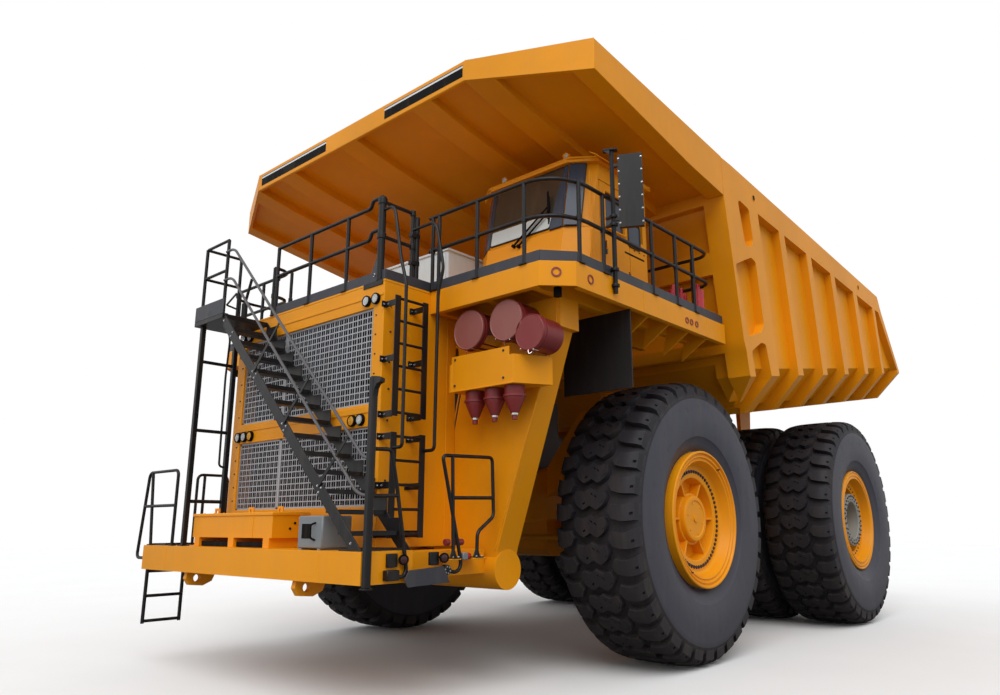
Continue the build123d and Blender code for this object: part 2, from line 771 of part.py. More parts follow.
cab_levels = (
    # z, front's set-back from the lowest panel
    (deck_top + seat_gap, 0),
    (cab_sill, cab_sill_setback),
    (cab_glass_top, cab_head_setback),
)
with BuildPart() as cab_shell:
    for (z1, shift1), (z2, shift2) in zip(cab_levels, cab_levels[1:]):
        with BuildSketch(plan(z1)) as low:
            with BuildLine():
                Polyline(*cab_plan(0, shift1), close=True)
            make_face()
        with BuildSketch(plan(z2)) as high:
            with BuildLine():
                Polyline(*cab_plan(0, shift2), close=True)
            make_face()
        loft([low.sketch, high.sketch], ruled=True)
    prism(cab_plan(-cab_roof_reach, 130), plan(cab_glass_top), cab_roof_top - cab_glass_top)
    for (z1, shift1), (z2, shift2) in zip(cab_levels, cab_levels[1:]):
        z_low = z1 + (cab_floor if z1 < cab_sill else 0)
        with BuildSketch(plan(z_low)) as low:
            with BuildLine():
                Polyline(*cab_plan(cab_wall, shift1), close=True)
            make_face()
        with BuildSketch(plan(z2)) as high:
            with BuildLine():
                Polyline(*cab_plan(cab_wall, shift2), close=True)
            make_face()
        loft([low.sketch, high.sketch], ruled=True, mode=Mode.SUBTRACT)
    # windscreen
    block((cab_inner_x + cab_screen_side, cab_outer_x - cab_screen_side),
          (cab_front_y - 50, cab_front_y + 500),
          (window_low, window_high), mode=Mode.SUBTRACT)
    # doorway on the left, a window opposite, and the rear side windows
    block((cab_outer_x - 200, cab_outer_x + 10), (door_front_y, door_rear_y), (door_low, door_high),
          mode=Mode.SUBTRACT)
    block((cab_inner_x - 10, cab_inner_x + 200), (door_front_y, door_rear_y), (window_low, window_high),
          mode=Mode.SUBTRACT)
    block((cab_inner_x - 10, cab_outer_x + 10),
          (door_rear_y + cab_window_edge, cab_rear_y - cab_window_edge), (window_low + 60, window_high - 60),
          mode=Mode.SUBTRACT)
    # rear window
    block((cab_inner_x + 300, cab_outer_x - 300), (cab_rear_y - 100, cab_rear_y + 10),
          (window_low + 60, window_high - 60), mode=Mode.SUBTRACT)
    # hinge rings and pins for the door
    for z in hinge_heights:
        hinge_ring(z, door_rear_y + 50)
        with BuildSketch(plan(z + hinge_ring_height)) as hinge_pin:
            with Locations((hinge_x, hinge_y)):
                Circle(hinge_pin_radius)
        extrude(hinge_pin.sketch, amount=hinge_ring_height + 10)
save(cab_shell, "cab_shell")

with BuildPart() as cab_glass:
    lean = (cab_head_setback - cab_sill_setback) / (cab_glass_top - cab_sill)
    screen = []
    for z in (window_low + seat_gap, window_high - seat_gap):
        front = cab_front_y + cab_sill_setback + (z - cab_sill) * lean + glass_inset
        screen.append((front, z))
    (y1, z1), (y2, z2) = screen
    prism(((y1, z1), (y1 + glass_wall, z1), (y2 + glass_wall, z2), (y2, z2)),
          side(cab_inner_x + cab_screen_side + seat_gap),
          cab_outer_x - cab_inner_x - 2 * (cab_screen_side + seat_gap))
    for x in (cab_inner_x + glass_inset, cab_outer_x - glass_inset - glass_wall):
        block((x, x + glass_wall), (door_rear_y + cab_window_edge + seat_gap,
                                    cab_rear_y - cab_window_edge - seat_gap),
              (window_low + 60 + seat_gap, window_high - 60 - seat_gap))
    middle = cab_inner_x + glass_inset
    block((middle, middle + glass_wall), (door_front_y + seat_gap, door_rear_y - seat_gap),
          (window_low + seat_gap, window_high - seat_gap))
    block((cab_inner_x + 300 + seat_gap, cab_outer_x - 300 - seat_gap),
          (cab_rear_y - glass_inset - glass_wall, cab_rear_y - glass_inset),
          (window_low + 60 + seat_gap, window_high - 60 - seat_gap))
save(cab_glass, "cab_glass")

# Cab door, hung on two ring hinges at its rear edge, with its own window
door_front = door_front_y + door_gap
door_rear = door_rear_y - door_gap
with BuildPart() as cab_door:
    low, high = door_low + door_gap, door_high - door_gap
    block((cab_outer_x, cab_outer_x - cab_wall), (door_front, door_rear), (low, high))
    block((cab_outer_x, cab_outer_x - cab_wall), (door_front + 110, door_rear - 110),
          (window_low + 40, high - 110), mode=Mode.SUBTRACT)
    block((cab_outer_x, cab_outer_x + 40), (door_front + 60, door_front + 90),
          (window_low - 330, window_low - 160))
    for z in hinge_heights:
        hinge_ring(z + hinge_ring_height + bearing_gap, door_rear - 40, hinge_pin_radius + bearing_gap)
save(cab_door, "cab_door")

with BuildPart() as cab_door_glass:
    middle = cab_outer_x - cab_wall / 2
    block((middle - 4, middle + 4), (door_front + 110 + seat_gap, door_rear - 110 - seat_gap),
          (window_low + 40 + seat_gap, door_high - door_gap - 110 - seat_gap))
save(cab_door_glass, "cab_door_glass")

# Driver's seat, wheel and console
with BuildPart() as cab_seat:
    base = deck_top + seat_gap + cab_floor + seat_gap
    seat_line = (
        # y, z: seat and back in side view
        (-1780, base + 430), (-1290, base + 400), (-1180, base + 1080), (-1060, base + 1080),
        (-1130, base + 380),
        (-1180, base + 300), (-1400, base + 300), (-1400, base), (-1620, base), (-1620, base + 300),
        (-1780, base + 320),
    )
    prism(seat_line, side(seat_x - 260), 520)
    prism(((-2010, base), (-1960, base + 620), (-1900, base + 740), (-1860, base + 700), (-1940, base + 560),
           (-1900, base)),
          side(seat_x - 340), 680)
    with BuildSketch(Plane(origin=(seat_x, -1850, base + 800), z_dir=(0, 0.5, 0.87))) as steering_wheel:
        Circle(steering_wheel_radius)
        Circle(steering_wheel_radius - 30, mode=Mode.SUBTRACT)
        Rectangle(2 * steering_wheel_radius - 50, 40)
    extrude(steering_wheel.sketch, amount=24)
    pipe((seat_x, -1850, base + 805), (seat_x, -1930, base + 640), radius=40)
save(cab_seat, "cab_seat")

# Electrical cabinet on the deck beside the cab
with BuildPart() as control_cabinet:
    block((cabinet_left_x, cabinet_right_x), (cabinet_front_y, cabinet_rear_y),
          (deck_top + seat_gap, cabinet_top))
    fillet(control_cabinet.edges().filter_by(Axis.Z), 30)
    block((cabinet_left_x - 20, cabinet_right_x + 20), (cabinet_front_y - 20, cabinet_rear_y + 20),
          (cabinet_top, cabinet_top + cabinet_lid))
    for x in cabinet_door_seams:
        block((x, x + 10), (cabinet_front_y, cabinet_front_y + 12), (deck_top + 60, cabinet_top - 30),
              mode=Mode.SUBTRACT)
save(control_cabinet, "control_cabinet")

# Resistor box behind the cabinets
grid_front_y = cabinet_rear_y + 60
grid_half_length = 700
with BuildPart() as grid_box:
    grid_rear_y = grid_front_y + 2 * grid_half_length
    block((cabinet_left_x, cabinet_left_x + grid_width), (grid_front_y, grid_rear_y),
          (deck_top + seat_gap, grid_top))
    for level in range(grid_slots):
        z = deck_top + 130 + grid_slot_pitch * level
        for x in (cabinet_left_x, cabinet_left_x + grid_width - 40):
            block((x, x + 40), (grid_front_y + 90, grid_rear_y - 90), (z, z + 55), mode=Mode.SUBTRACT)
save(grid_box, "grid_box")

with BuildPart() as fire_bottles:
    for x, y in ((deck_half_width - 140, 60), (deck_half_width - 400, 60), (deck_half_width - 400, -160)):
        with BuildSketch(plan(deck_top + seat_gap)):
            with Locations((x, y)):
                Circle(bottle_radius)
        extrude(amount=bottle_height)
        with BuildSketch(plan(deck_top + bottle_height)):
            with Locations((x, y)):
                Circle(bottle_neck_radius)
        extrude(amount=bottle_neck)
save(fire_bottles, "fire_bottles")

# Air cleaners under the deck with the panel that covers their foot
with BuildPart() as air_cleaners:
    for x, z, radius in air_cleaner_places:
        with BuildSketch(face(leg_front_y - seat_gap)):
            with Locations((x, z)):
                Circle(radius - 12)
        extrude(amount=air_cleaner_length - 40)
        with BuildSketch(face(leg_front_y - air_cleaner_length + 40)):
            with Locations((x, z)):
                Circle(radius)
        extrude(amount=40)
    # dust bowls under the bracket: collar, cone and nozzle
    for x in bowl_places:
        with BuildSketch(plan(bowl_foot_z)):
            with Locations((x, bowl_y)):
                Circle(30)
        extrude(amount=90)
        with BuildSketch(plan(bowl_cone_z)):
            with Locations((x, bowl_y)):
                Circle(45)
        with BuildSketch(plan(bowl_collar_z)):
            with Locations((x, bowl_y)):
                Circle(bowl_radius)
        loft()
        with BuildSketch(plan(bowl_collar_z)):
            with Locations((x, bowl_y)):
                Circle(bowl_radius)
        extrude(amount=bracket_floor - bracket_wall - bowl_collar_z - seat_gap)
save(air_cleaners, "air_cleaners")

bracket_plan = (
    # x, y of the bracket's outline seen from above
    (1900, leg_front_y - seat_gap), (1900, -3200), (2840, -3200), (3060, leg_front_y - seat_gap),
)
bracket_inside = (
    (1900 + bracket_wall, leg_front_y + 50), (1900 + bracket_wall, -3200 + bracket_wall),
    (2830, -3200 + bracket_wall),
    (3043, leg_front_y + 50),
)
with BuildPart() as air_cleaner_bracket:
    prism(bracket_plan, plan(bracket_floor - bracket_wall), bracket_top - bracket_floor + bracket_wall)
    prism(bracket_inside, plan(bracket_floor), bracket_top - bracket_floor, mode=Mode.SUBTRACT)
    # raised front plate
    block((1900, 2780), (-3200, -3200 + bracket_wall), (bracket_top, bracket_head))
save(air_cleaner_bracket, "air_cleaner_bracket")

# Mirrors on posts at the deck's edges
with BuildPart() as mirrors:
    post_x = deck_half_width + seat_gap + pipe_radius + 6
    pipe((post_x, mirror_y, deck_top - 200), (post_x, mirror_y, deck_top + 1540), radius=30)
    turn = radians(mirror_turn)
    mirror_plane = Plane(origin=(post_x, mirror_y, deck_top + mirror_rise), x_dir=(cos(turn), sin(turn), 0),
                         z_dir=(0, 0, 1))
    with BuildSketch(mirror_plane) as mirror_plan:
        with Locations((70 + mirror_width / 2, 0)):
            Rectangle(mirror_width, mirror_depth)
    extrude(mirror_plan.sketch, amount=mirror_height)
    for lift in mirror_arms:
        with BuildSketch(mirror_plane.offset(lift)) as arm_plan:
            with Locations((50, 0)):
                Rectangle(90, arm_size)
        extrude(arm_plan.sketch, amount=arm_size)
    mirrored()
save(mirrors, "mirrors")

with BuildPart() as mud_flaps:
    block((2500, 3480), (-1870, -1850), (3250, frame_head_z))
    mirrored()
save(mud_flaps, "mud_flaps")

with BuildPart() as lamps:
    for x, z in lamp_places:
        with BuildSketch(face(radiator_front_y - seat_gap)):
            with Locations((x, z)):
                Circle(lamp_radius)
        extrude(amount=24)
save(lamps, "lamps")

# Suspension struts and what carries them
with BuildPart() as struts:
    with BuildSketch(plan(knuckle_top)):
        with Locations((kingpin_x, 0)):
            Circle(strut_radius)
    extrude(amount=strut_height)
    rail_side = rail_x + rail_width / 2 + seat_gap
    prism(((rail_side, 2150), (rail_side, 2565), (1500, 3350), (kingpin_x, 3350), (kingpin_x, 2500),
           (1500, 2500)), face(170), 340)
    with BuildSketch(plan(2160)):
        with Locations((rear_strut_x, wheelbase + 480)):
            Circle(70)
    extrude(amount=400)
    with BuildSketch(plan(2500)):
        with Locations((rear_strut_x, wheelbase + 480)):
            Circle(100)
    extrude(amount=360)
    block((rail_x + rail_width / 2 + seat_gap, rear_strut_x + 90), (wheelbase + 390, wheelbase + 570),
          (2860, 3040))
    mirrored()
save(struts, "struts")

with BuildPart() as tanks:
    for sign, length in ((-1, 1240), (1, 1240)):
        with BuildSketch(side(sign * tank_inner_x)) as tank:
            with Locations((tank_front_y + length / 2, tank_middle_z)):
                RectangleRounded(length, tank_height, 160)
        extrude(tank.sketch, amount=sign * tank_width)
        for y in (tank_front_y + 30, tank_front_y + length - 180):
            block((sign * (rail_x + rail_width / 2 + seat_gap), sign * (tank_inner_x + 20)), (y, y + 120),
                  (2130, 2230))
save(tanks, "tanks")

# Rear axle housing with its forward arm
with BuildPart() as rear_axle:
    axle_section = (
        # x, radius
        (0, 0), (0, 720), (330, 720), (520, 520), (axle_half, 470), (axle_half, 0),
    )
    with BuildSketch(Plane(origin=(0, wheelbase, tyre_radius), x_dir=(1, 0, 0), z_dir=(0, -1, 0))):
        with BuildLine():
            Polyline(*axle_section, close=True)
        make_face()
    revolve(axis=Axis((0, wheelbase, tyre_radius), (1, 0, 0)))
    arm = (
        # x, y of the left half
        (0, wheelbase - 600), (430, wheelbase - 600), (200, 2400), (120, 2240), (0, 2240),
    )
    prism(arm, plan(1650), 380)
    block((0, rear_strut_x + 90), (wheelbase + 300, wheelbase + 570), (1980, 2160))
    mirrored()
save(rear_axle, "rear_axle")

# Bed: a trough with ribs round it, and the canopy ahead of its front wall
def trough(inset, low_y, high_y, top):
    """Solid with the bed's cross-section, drawn in by inset on the sides and the floor."""
    half = bed_half_width - inset
    sections = []
    for y in (low_y, high_y):
        bottom = floor_z(y) + inset
        knee = bottom + bed_knee_rise
        with BuildSketch(face(y)) as section:
            with BuildLine():
                Polyline((-half, top), (-half, knee), (-half + bed_knee_run, bottom),
                         (half - bed_knee_run, bottom),
                         (half, knee), (half, top), close=True)
            make_face()
        sections.append(section.sketch)
    loft(sections, ruled=True)


def across(points, mode=Mode.ADD):
    """Prism over the bed's whole width from an outline in side view."""
    prism(points, side(0), bed_reach, mode=mode, both=True)


def lifted(y, lift):
    """Point in side view, lift above the floor's underside."""
    return (y, floor_z(y) + lift)


# y and z in side view: the outside, the plates inside its ribs, and the load space
bed_outline = (
    (bed_front_y, 6900), (bed_front_y, 6310), (700, 4250), (760, 4100), (821, 3756), (1279, 3345),
    lifted(1400, -5),
    lifted(rear_reach, 0), (rear_reach, 5041), (7907, 6180), (7716, 6507), (681, 6895),
)
bed_plates = (
    (bed_front_y + 130, 6890), (bed_front_y + 130, 6310), (830, 4240), (890, 4120), (955, 3800), (1420, 3400),
    lifted(1500, bed_rib_depth), lifted(8700, bed_rib_depth), (8700, 5041), (7850, 6180), (7700, 6500),
)
bed_space = (
    (bed_front_y + 180, 7300), (bed_front_y + 180, 6310), (890, 4350), (1010, 4250),
    lifted(1850, bed_rib_depth + bed_wall),
    lifted(9200, bed_rib_depth + bed_wall), (9200, 7300),
)
bed_bevel = (
    # cut under the floor's front, over the steered tyres
    (0, 4130), (740, 4130), lifted(1750, 0), (1750, 2500), (0, 2500),
)
with BuildPart() as bed_ribs:
    trough(0, 0, 9000, 7200)
    across(bed_outline, Mode.INTERSECT)
with BuildPart() as rib_bands:
    rib_low, rib_high = 3000, 7000
    lean = tan(radians(8))
    low_shift = lean * (4050 - rib_low)
    high_shift = lean * (4050 - rib_high)
    for y, width in bed_rib_places:
        across(((y - width / 2 + low_shift, rib_low), (y + width / 2 + low_shift, rib_low),
                (y + width / 2 + high_shift, rib_high), (y - width / 2 + high_shift, rib_high)))
    # front corner, up to the first rib
    across(((-100, rib_high), (1370, rib_high), (1980, rib_low), (-100, rib_low)))
    # top rail and the edge round the tail
    across(((0, 6600), (0, rib_high), (9200, rib_high), (9200, 6000), (7700, 6145), (829, 6444)))
    across(((7716, 6607), (7640, 6200), (8670, 5041), (8670, 3900), (9200, 3900), (9200, 6607)))
    for pocket in bed_front_pockets:
        with BuildSketch(side(0)) as recess:
            with BuildLine():
                Polyline(*pocket, close=True)
            make_face()
            fillet(recess.vertices(), pocket_corner)
        extrude(recess.sketch, amount=bed_reach, both=True, mode=Mode.SUBTRACT)
    for low, high in bed_front_bays:
        block((-bed_half_width + 330, bed_half_width - 330), (0, 1500), (low, high), mode=Mode.SUBTRACT)
with BuildPart() as bed_shell:
    trough(bed_rib_depth, 0, 9000, 7200)
    across(bed_plates, Mode.INTERSECT)
    with BuildPart(mode=Mode.PRIVATE) as bands:
        add(bed_ribs.part)
        add(rib_bands.part, mode=Mode.INTERSECT)
    add(bands.part)
    with BuildPart(mode=Mode.PRIVATE) as space:
        trough(bed_rib_depth + bed_wall, -200, 9300, 7400)
        across(bed_space, Mode.INTERSECT)
    add(space.part, mode=Mode.SUBTRACT)
    prism(bed_bevel, side(0), bed_bevel_half, mode=Mode.SUBTRACT, both=True)
    # beams under the floor that rest on the frame, and the hinge brackets
    for sign in (-1, 1):
        bolster = (
            # y, z
            (1900, rail_top_z(1900) + seat_gap), (4300, rail_top_z(4300) + seat_gap),
            (6350, rail_top_z(6350) + seat_gap),
            lifted(6350, bed_rib_depth + 5), lifted(1900, bed_rib_depth + 5),
        )
        prism(bolster, side(sign * rail_x - 90), 180)
        bracket = (
            lifted(6520, bed_rib_depth + 5), (6580, 2960), (pivot_y, 2830), (6920, 2960),
            lifted(7100, bed_rib_depth + 5),
        )
        outer = rail_x + rail_width / 2 + running_gap
        prism(bracket, side(outer if sign > 0 else -outer - 90), 90)
        with BuildSketch(side(outer - 250 if sign > 0 else -outer - 90)):
            with Locations((pivot_y, pivot_z)):
                Circle(pivot_pin_radius)
        extrude(amount=340)
        # ears for the hoists
        for x in (sign * hoist_x - 105, sign * hoist_x + 75):
            prism(((hoist_top_y - 130, hoist_top_z), (hoist_top_y, hoist_top_z - 110),
                   (hoist_top_y + 130, hoist_top_z),
                   lifted(hoist_top_y + 160, bed_rib_depth + 5),
                   lifted(hoist_top_y - 160, bed_rib_depth + 5)), side(x), 30)
save(bed_shell, "bed_shell")

# Canopy over the cab and deck: a box with bays between the beams of its underside
canopy_rear_y = bed_front_y - seat_gap
canopy_side = (
    # y, z
    (canopy_front_y, 7160), (canopy_corner_y, 7147), (canopy_rear_y, 6915), (canopy_rear_y, 6310),
    (-618, 6411),
    (-2810, 6753), (canopy_front_y, 6890),
)
canopy_underside = canopy_side[3:]
canopy_inside = (
    # y, z of the hollow over the bays, open to the bed's front wall
    (canopy_rear_y + 10, 6870), (canopy_corner_y, 7105), (canopy_front_y + 400, 7112),
    (-2810, 6753 + canopy_recess + canopy_wall),
    (-618, 6411 + canopy_recess + canopy_wall), (canopy_rear_y + 10, 6310 + canopy_recess + canopy_wall),
)
with BuildPart() as bed_canopy:
    prism(canopy_side, side(0), bed_half_width, both=True)
    prism(canopy_inside, side(0), bed_half_width - canopy_edge, mode=Mode.SUBTRACT, both=True)
    bay = [(y, z + canopy_recess) for y, z in canopy_underside]
    bay[-1] = (canopy_front_y + 40, 6885 + canopy_recess)
    bay[0] = (canopy_rear_y + 10, 6310 + canopy_recess)
    bay += [(canopy_front_y + 40, 5900), (canopy_rear_y + 10, 5900)]
    for inner, outer in canopy_bays:
        for low in (inner, -outer):
            prism(bay, side(low), outer - inner, mode=Mode.SUBTRACT)
    with BuildPart(mode=Mode.PRIVATE) as corner:
        prism(((canopy_half_front, canopy_front_y), (bed_half_width, canopy_corner_y),
               (bed_half_width + 200, canopy_corner_y),
               (bed_half_width + 200, canopy_front_y - 200), (canopy_half_front, canopy_front_y - 200)),
               plan(5800), 1600)
        mirrored()
    add(corner.part, mode=Mode.SUBTRACT)
save(bed_canopy, "bed_canopy")

# Two-stage hoists, left and right, shown closed
hoist_base = Vector(0, hoist_base_y, hoist_base_z)
hoist_top = Vector(0, hoist_top_y, hoist_top_z)
hoist_line = hoist_top - hoist_base
hoist_length = hoist_line.length


def hoist_tube(x, start, stop, radius, bore=0):
    """Tube of a hoist between two distances from its lower pin."""
    origin = Vector(x, hoist_base_y, hoist_base_z) + hoist_line.normalized() * start
    with BuildSketch(Plane(origin=origin, z_dir=hoist_line.normalized(), x_dir=(1, 0, 0))) as ring:
        Circle(radius)
        if bore:
            Circle(bore, mode=Mode.SUBTRACT)
    extrude(ring.sketch, amount=stop - start)


def hoist_eye(x, at, radius, width):
    """Round eye across a hoist's end."""
    with BuildSketch(side(x - width / 2)) as eye:
        with Locations((at.Y, at.Z)):
            Circle(radius)
    extrude(eye.sketch, amount=width)


with BuildPart() as hoist_barrels:
    hoist_eye(hoist_x, hoist_base, 110, 110)
    hoist_tube(hoist_x, 90, 200, 118)
    hoist_tube(hoist_x, 200, hoist_length - 300, 118, bore=98)
    with BuildSketch(side(hoist_x - 60)) as pin_bore:
        with Locations((hoist_base_y, hoist_base_z)):
            Circle(hoist_pin_radius + bearing_gap)
    extrude(pin_bore.sketch, amount=120, mode=Mode.SUBTRACT)
    mirrored()
save(hoist_barrels, "hoist_barrels")
with BuildPart() as hoist_stages:
    hoist_tube(hoist_x, 215, hoist_length - 250, 97.9, bore=66)
    mirrored()
save(hoist_stages, "hoist_stages")
with BuildPart() as hoist_rods:
    hoist_tube(hoist_x, 230, hoist_length - 40, 65.9)
    hoist_eye(hoist_x, hoist_top, 95, 110)
    mirrored()
save(hoist_rods, "hoist_rods")

# Steering knuckles, their arms and the rod between them
arm_top = knuckle_foot + steer_arm_height
for name, sign in (("left", 1), ("right", -1)):
    x = sign * kingpin_x
    with BuildPart() as knuckle:
        with BuildSketch(plan(knuckle_foot)):
            with Locations((x, 0)):
                Circle(strut_radius - 10)
        extrude(amount=knuckle_top - knuckle_foot - bearing_gap)
        with BuildSketch(side(x)) as spindle:
            with Locations((0, tyre_radius)):
                Circle(spindle_radius)
        extrude(spindle.sketch, amount=sign * (front_tyre_x - kingpin_x + 60))
        block((x - 70, x + 70), (0, steer_arm), (knuckle_foot, arm_top))
        with BuildSketch(plan(knuckle_foot)):
            with Locations((x, steer_arm)):
                Circle(90)
        extrude(amount=steer_arm_height)
        with BuildSketch(plan(arm_top)):
            with Locations((x, steer_arm)):
                Circle(steer_pin_radius)
        extrude(amount=110)
    save(knuckle, f"knuckle_{name}")

with BuildPart() as tie_rod:
    # close bore at the hinged end, wide bore at the end left open
    for x, bore in ((kingpin_x, steer_pin_radius + 0.05), (-kingpin_x, steer_pin_radius + 6)):
        with BuildSketch(plan(arm_top + bearing_gap)) as eye:
            with Locations((x, steer_arm)):
                Circle(tie_rod_eye)
                Circle(bore, mode=Mode.SUBTRACT)
        extrude(eye.sketch, amount=100)
    bar_end = kingpin_x - tie_rod_eye + 7
    with BuildSketch(side(-bar_end)) as bar_section:
        with Locations((steer_arm, arm_top + 52)):
            Circle(tie_rod_radius)
    extrude(bar_section.sketch, amount=2 * bar_end)
save(tie_rod, "tie_rod")


# Wheels: profiles turned about the axle
def turned(profile, x, y, sign=1, mode=Mode.ADD):
    """Solid turned about the axle line from pairs of offset along X and radius."""
    with BuildSketch(Plane(origin=(x, y, tyre_radius), x_dir=(1, 0, 0), z_dir=(0, -1, 0))) as section:
        with BuildLine():
            Polyline(*[(sign * offset, radius) for offset, radius in profile], close=True)
        make_face()
    revolve(section.sketch, axis=Axis((x, y, tyre_radius), (1, 0, 0)), mode=mode)


half_tread = tyre_width / 2
bead_flat = bead_radius + seat_gap
flange_flat = rim_flange_radius + 14
tyre_profile = (
    # offset from the tyre's middle and radius of the flats, once round the section
    (-rim_width / 2, flange_flat), (-half_tread, 1270), (-half_tread + 10, 1640),
    (-half_tread + 150, tyre_radius),
    (half_tread - 150, tyre_radius), (half_tread - 10, 1640), (half_tread, 1270),
    (rim_width / 2, flange_flat),
    (rim_width / 2, bead_flat), (-rim_width / 2, bead_flat),
)


def tyre_corner(offset, flat_radius, number):
    """Corner of a ring of flats about the axle, at an offset along it."""
    reach = flat_radius / cos(pi / lug_count)
    turn = 2 * pi * (number + 0.5) / lug_count
    return (offset, reach * sin(turn), reach * cos(turn))


def tyre(x, y):
    """Tyre made of flats, one on the ground, with a groove at each corner between two lugs."""
    flats = []
    for (offset1, radius1), (offset2, radius2) in zip(tyre_profile, tyre_profile[1:] + tyre_profile[:1]):
        for number in range(lug_count):
            outline = Wire.make_polygon([
                tyre_corner(offset1, radius1, number), tyre_corner(offset1, radius1, number + 1),
                tyre_corner(offset2, radius2, number + 1), tyre_corner(offset2, radius2, number),
            ])
            flats.append(Face(outline))
    with Locations((x, y, tyre_radius)):
        add(Solid(Shell(flats)))
    with BuildSketch(Plane(origin=(x - half_tread, y, tyre_radius), x_dir=(0, 1, 0),
                           z_dir=(1, 0, 0))) as grooves:
        with PolarLocations(groove_floor + 100, lug_count, start_angle=180 / lug_count):
            Rectangle(200, groove_width)
    extrude(grooves.sketch, amount=tyre_width, mode=Mode.SUBTRACT)


edge = rim_width / 2
front_rim_profile = (
    # outwards first
    (edge + seat_gap, bead_radius), (edge + seat_gap, rim_flange_radius), (edge + 45, rim_flange_radius),
    (edge + 45, bead_radius - 70),
    (230, bead_radius - 90), (120, 560), (120, 330), (420, 300), (440, 250), (440, 0), (90, 0),
    (90, spindle_radius + bearing_gap),
    (-190, spindle_radius + bearing_gap), (-190, 400), (-40, 460), (-20, bead_radius - 60),
    (-edge - 45, bead_radius - 60),
    (-edge - 45, rim_flange_radius), (-edge - seat_gap, rim_flange_radius), (-edge - seat_gap, bead_radius),
)
rear_rim_profile = (
    (edge + seat_gap, bead_radius), (edge + seat_gap, rim_flange_radius), (edge + 45, rim_flange_radius),
    (edge + 45, bead_radius - 70),
    (edge - 60, bead_radius - 80), (edge - 110, 560), (edge - 60, 520), (edge - 60, 0), (-edge - 80, 0),
    (-edge - 80, 640),
    (-edge - 45, bead_radius - 70), (-edge - 45, rim_flange_radius), (-edge - seat_gap, rim_flange_radius),
    (-edge - seat_gap, bead_radius),
)
inner_rim_profile = (
    (edge + seat_gap, bead_radius), (edge + seat_gap, rim_flange_radius), (edge + 45, rim_flange_radius),
    (edge + 45, 640),
    (-edge + 330, 640), (-edge + 330, 0), (axle_half + bearing_gap - rear_inner_tyre_x, 0),
    (axle_half + bearing_gap - rear_inner_tyre_x, 470), (-edge + 60, 500),
    (-edge + 30, bead_radius - 70), (-edge - 45, bead_radius - 70), (-edge - 45, rim_flange_radius),
    (-edge - seat_gap, rim_flange_radius), (-edge - seat_gap, bead_radius),
)
for name, sign in (("left", 1), ("right", -1)):
    with BuildPart() as tyre_front:
        tyre(sign * front_tyre_x, 0)
    save(tyre_front, f"tyre_front_{name}")
    with BuildPart() as rim_front:
        turned(front_rim_profile, sign * front_tyre_x, 0, sign)
    save(rim_front, f"rim_front_{name}")
    with BuildPart() as tyres_rear:
        for x in (rear_inner_tyre_x, rear_outer_tyre_x):
            tyre(sign * x, wheelbase)
    save(tyres_rear, f"tyres_rear_{name}")
    with BuildPart() as rims_rear:
        turned(rear_rim_profile, sign * rear_outer_tyre_x, wheelbase, sign)
        turned(inner_rim_profile, sign * rear_inner_tyre_x, wheelbase, sign)
        # drum that joins the two rims
        with BuildSketch(side(sign * (rear_inner_tyre_x - edge + 330))) as drum:
            with Locations((wheelbase, tyre_radius)):
                Circle(drum_radius)
        extrude(drum.sketch, amount=sign * (rear_outer_tyre_x - rear_inner_tyre_x - 400))
    save(rims_rear, f"rims_rear_{name}")
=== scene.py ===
from math import atan2, cos, hypot, pi, radians, sin

import bmesh
import bpy
from mathutils import Matrix, Vector


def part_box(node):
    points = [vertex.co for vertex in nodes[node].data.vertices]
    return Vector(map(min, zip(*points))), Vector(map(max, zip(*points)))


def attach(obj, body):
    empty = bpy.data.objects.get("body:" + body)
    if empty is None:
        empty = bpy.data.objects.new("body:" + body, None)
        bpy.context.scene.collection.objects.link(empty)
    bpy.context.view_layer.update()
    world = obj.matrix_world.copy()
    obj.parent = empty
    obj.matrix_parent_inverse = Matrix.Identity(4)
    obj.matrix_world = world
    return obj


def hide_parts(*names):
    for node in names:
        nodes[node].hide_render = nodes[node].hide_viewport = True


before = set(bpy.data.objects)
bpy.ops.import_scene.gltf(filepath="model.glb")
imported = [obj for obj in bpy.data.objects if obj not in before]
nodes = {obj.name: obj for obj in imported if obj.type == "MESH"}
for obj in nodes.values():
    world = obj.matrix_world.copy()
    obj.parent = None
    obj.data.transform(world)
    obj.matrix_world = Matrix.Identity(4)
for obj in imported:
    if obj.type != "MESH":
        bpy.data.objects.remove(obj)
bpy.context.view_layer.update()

# Places in this script are measured from the ground under the front axle, in metres:
# x to the truck's left, y to the rear, z up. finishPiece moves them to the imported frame.
tyreLow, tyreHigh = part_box("tyre_front_left")
toFrame = Vector((0, (tyreLow.y + tyreHigh.y) / 2, 0))
axleHeight = (tyreLow.z + tyreHigh.z) / 2
frontTyreX = (tyreLow.x + tyreHigh.x) / 2
rearLow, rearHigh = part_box("rims_rear_left")
rearAxleY = (rearLow.y + rearHigh.y) / 2 - toFrame.y
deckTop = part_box("deck")[1].z
print("frame loaded:", len(nodes), "nodes")


# Camera, from the fit to the photograph
cameraFit = {
    "place": (7.9625, -9.0308, 1.7299),
    "yaw": 40.724,          # degrees to the truck's right of straight back
    "pitch": 12.827,
    "roll": -0.226,
    "focalPixels": 746.385,
    "middlePixels": (520.382, 354.998),
    "imagePixels": (1000, 695),
    "sensor": 36,
}


